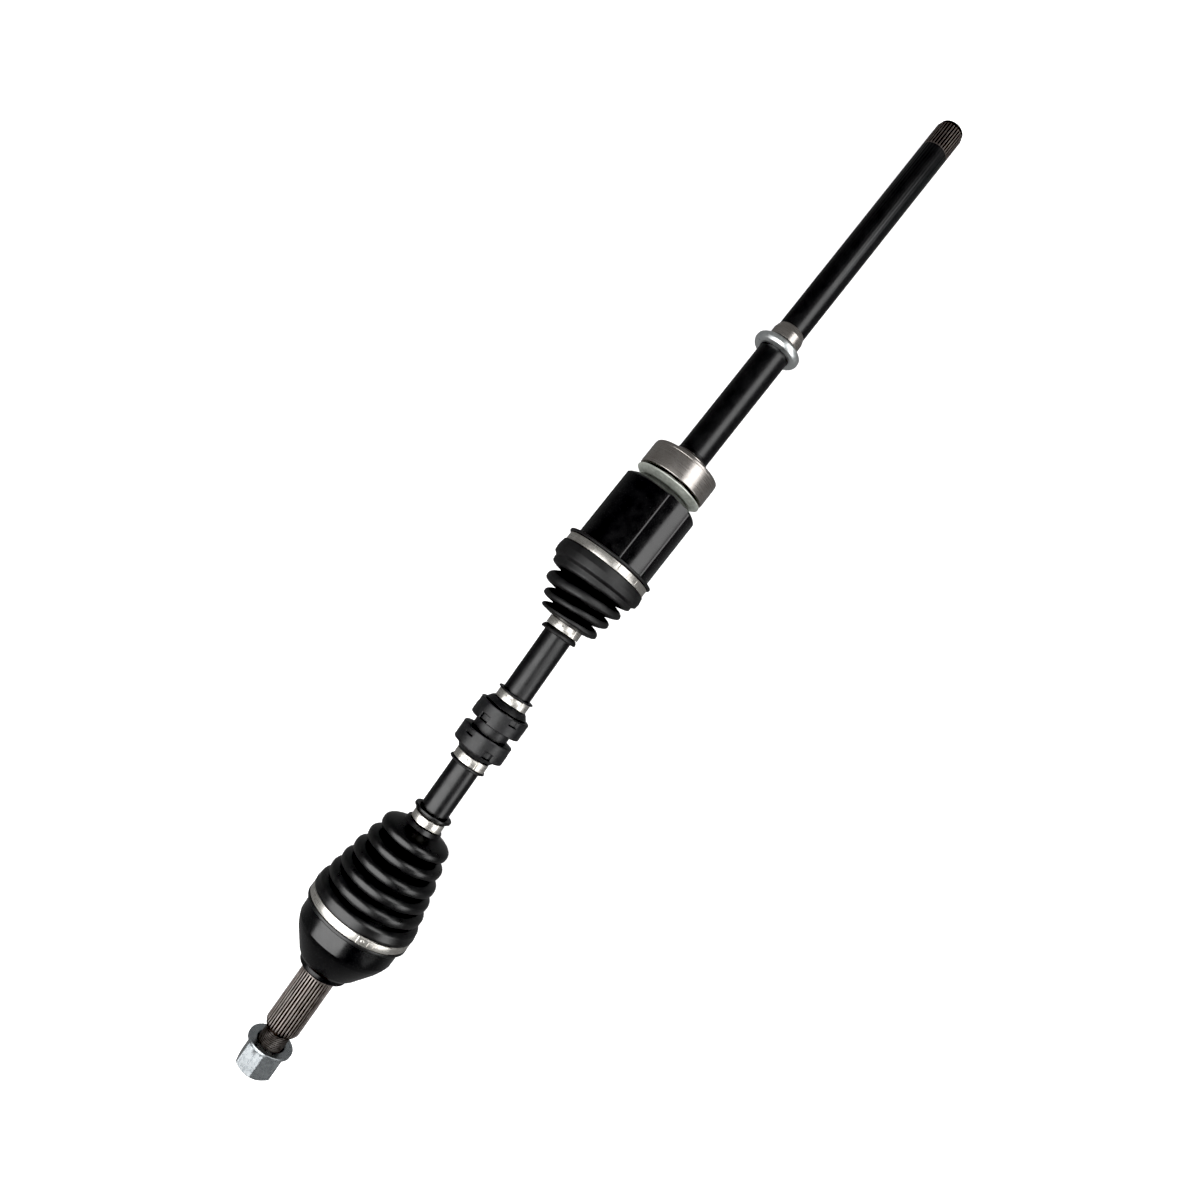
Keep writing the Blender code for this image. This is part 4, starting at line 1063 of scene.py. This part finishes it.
turned("bearing_ring_outer", outer_race_rows(), 160, STEEL, "bearing_ring", "bearing_outer_ring")
turned("bearing_ring_inner", inner_race_rows(), 128, STEEL, "inboard_shaft", "bearing_inner_ring")
for side, face, inwards in (("outboard", 62.7, 1), ("inboard", 83.3, -1)):
    turned(f"bearing_shield_seal_{side}", seal_rows(face, inwards), 128, RUBBER, "bearing_ring",
           f"bearing_seal_{side}")
turned("bearing_lock_ring", lock_ring_rows(), 128, STEEL, "inboard_shaft", "bearing_retaining_ring")
turned("bearing_dust_shield", shield_rows(), 160, OLIVE, "inboard_shaft", "dust_shield")
turned("oil_seal_deflector", deflector_rows(), 144, ZINC, "inboard_shaft", "seal_deflector_ring")


# ---------------------------------------------------------------- floor, light, camera

FLOOR_TONE, FLOOR_GLOW = (0.92, 0.92, 0.92), 0.55
FLOOR_HALF, FLOOR_LEVEL = 4, -0.0008
DOME_RADIUS, DOME_RINGS, DOME_AROUND = 3.9, 12, 48
WORLD_STRENGTH = 0.20


def floor_look():
    made = bpy.data.materials.new("studio_floor")
    made.use_nodes = True
    shader = made.node_tree.nodes["Principled BSDF"]
    shader.inputs["Base Color"].default_value = (*FLOOR_TONE, 1)
    shader.inputs["Roughness"].default_value = 0.9
    shader.inputs["Specular IOR Level"].default_value = 0.0
    shader.inputs["Emission Color"].default_value = (1, 1, 1, 1)
    shader.inputs["Emission Strength"].default_value = FLOOR_GLOW
    return made


floor_mesh = bpy.data.meshes.new("floor")
corners = [(x * FLOOR_HALF, y * FLOOR_HALF, 0) for x, y in ((-1, -1), (1, -1), (1, 1), (-1, 1))]
floor_mesh.from_pydata(corners, [], [(0, 1, 2, 3)])
floor = bpy.data.objects.new("floor", floor_mesh)
floor.location.z = FLOOR_LEVEL
floor.visible_glossy = False
floor_mesh.materials.append(floor_look())
bpy.context.scene.collection.objects.link(floor)


def sky_shell():
    """A bright dome behind everything, which only the camera sees."""
    made = bpy.data.materials.new("studio_backdrop")
    made.use_nodes = True
    shader = made.node_tree.nodes["Principled BSDF"]
    shader.inputs["Base Color"].default_value = (0, 0, 0, 1)
    shader.inputs["Emission Color"].default_value = (1, 1, 1, 1)
    shader.inputs["Emission Strength"].default_value = 1.0
    points, faces = [], []
    for rise in np.linspace(0, math.pi / 2, DOME_RINGS + 1):
        r, z = DOME_RADIUS * math.cos(rise), DOME_RADIUS * math.sin(rise) - 0.01
        points += [(r * math.cos(t), r * math.sin(t), z) for t in np.linspace(0, TAU, DOME_AROUND, False)]
    for i in range(DOME_RINGS):
        low, high = i * DOME_AROUND, (i + 1) * DOME_AROUND
        for j in range(DOME_AROUND):
            k = (j + 1) % DOME_AROUND
            faces.append((low + j, low + k, high + k, high + j))
    mesh = bpy.data.meshes.new("backdrop")
    mesh.from_pydata(points, [], faces)
    mesh.materials.append(made)
    dome = bpy.data.objects.new("backdrop", mesh)
    for ray in ("diffuse", "glossy", "transmission", "shadow", "volume_scatter"):
        setattr(dome, "visible_" + ray, False)
    bpy.context.scene.collection.objects.link(dome)
    return dome


sky_shell()

world = bpy.data.worlds.new("studio")
bpy.context.scene.world = world
world.use_nodes = True
world.node_tree.nodes["Background"].inputs["Color"].default_value = (1, 1, 1, 1)
world.node_tree.nodes["Background"].inputs["Strength"].default_value = WORLD_STRENGTH


def softbox(name, place, lean, size, watts, mirrored=True):
    """A rectangular light above the floor, turned by lean degrees from facing straight down.

    One that isn't mirrored brightens surfaces without showing in their gloss.
    """
    made = bpy.data.lights.new(name, "AREA")
    made.shape = "RECTANGLE"
    made.size, made.size_y = size
    made.energy = watts
    lamp = bpy.data.objects.new(name, made)
    lamp.location = place
    lamp.rotation_euler.x = math.radians(lean)
    lamp.visible_glossy = mirrored
    bpy.context.scene.collection.objects.link(lamp)


BOX_DISTANCE = 1.0


def strip(name, x, lean, length, width, watts):
    """A softbox over the axle at x, swung towards -Y by lean degrees and facing back to it."""
    side, rise = math.sin(math.radians(lean)), math.cos(math.radians(lean))
    softbox(name, (x, -BOX_DISTANCE * side, BOX_DISTANCE * rise), lean, (length, width), watts)


softbox("overhead_fill", (0.0, 0.0, 2.2), 0, (3.0, 3.0), 30, mirrored=False)
strip("outboard_box", -0.66, -25, 0.70, 1.40, 11.5)
strip("middle_box", -0.15, -22, 0.30, 0.75, 2.6)
strip("outboard_side_box", -0.40, 66, 0.55, 0.45, 2.4)
strip("inboard_side_box", 0.45, 40, 1.15, 0.66, 6.8)

CAMERA_DEPTH, CAMERA_BACK, CAMERA_ASIDE = 0.698, 0.0488, 0.01200
CAMERA_TILT, CAMERA_ROLL = math.radians(1.5), math.radians(53.65)
SENSOR, LENS = 36.0, 25.74
BLACK_LEVEL = 0.015
view = Vector((math.sin(CAMERA_TILT), 0, -math.cos(CAMERA_TILT)))
along = Vector((math.cos(CAMERA_TILT), 0, math.sin(CAMERA_TILT)))
aside = Vector((0, -1, 0))
right = math.cos(CAMERA_ROLL) * along + math.sin(CAMERA_ROLL) * aside
up = math.sin(CAMERA_ROLL) * along - math.cos(CAMERA_ROLL) * aside
lens = bpy.data.cameras.new("camera")
lens.sensor_width, lens.lens = SENSOR, LENS
lens.clip_start = 0.01
camera = bpy.data.objects.new("camera", lens)
stand = TRIPOD - CAMERA_DEPTH * view - CAMERA_BACK * along + CAMERA_ASIDE * aside
camera.matrix_world = Matrix.Translation(stand) @ Matrix((right, up, -view)).transposed().to_4x4()
bpy.context.scene.collection.objects.link(camera)
bpy.context.scene.camera = camera
grading = bpy.context.scene.view_settings
grading.view_transform = "Standard"
grading.use_curve_mapping = True
grading.curve_mapping.black_level = (BLACK_LEVEL, BLACK_LEVEL, BLACK_LEVEL)
grading.curve_mapping.update()
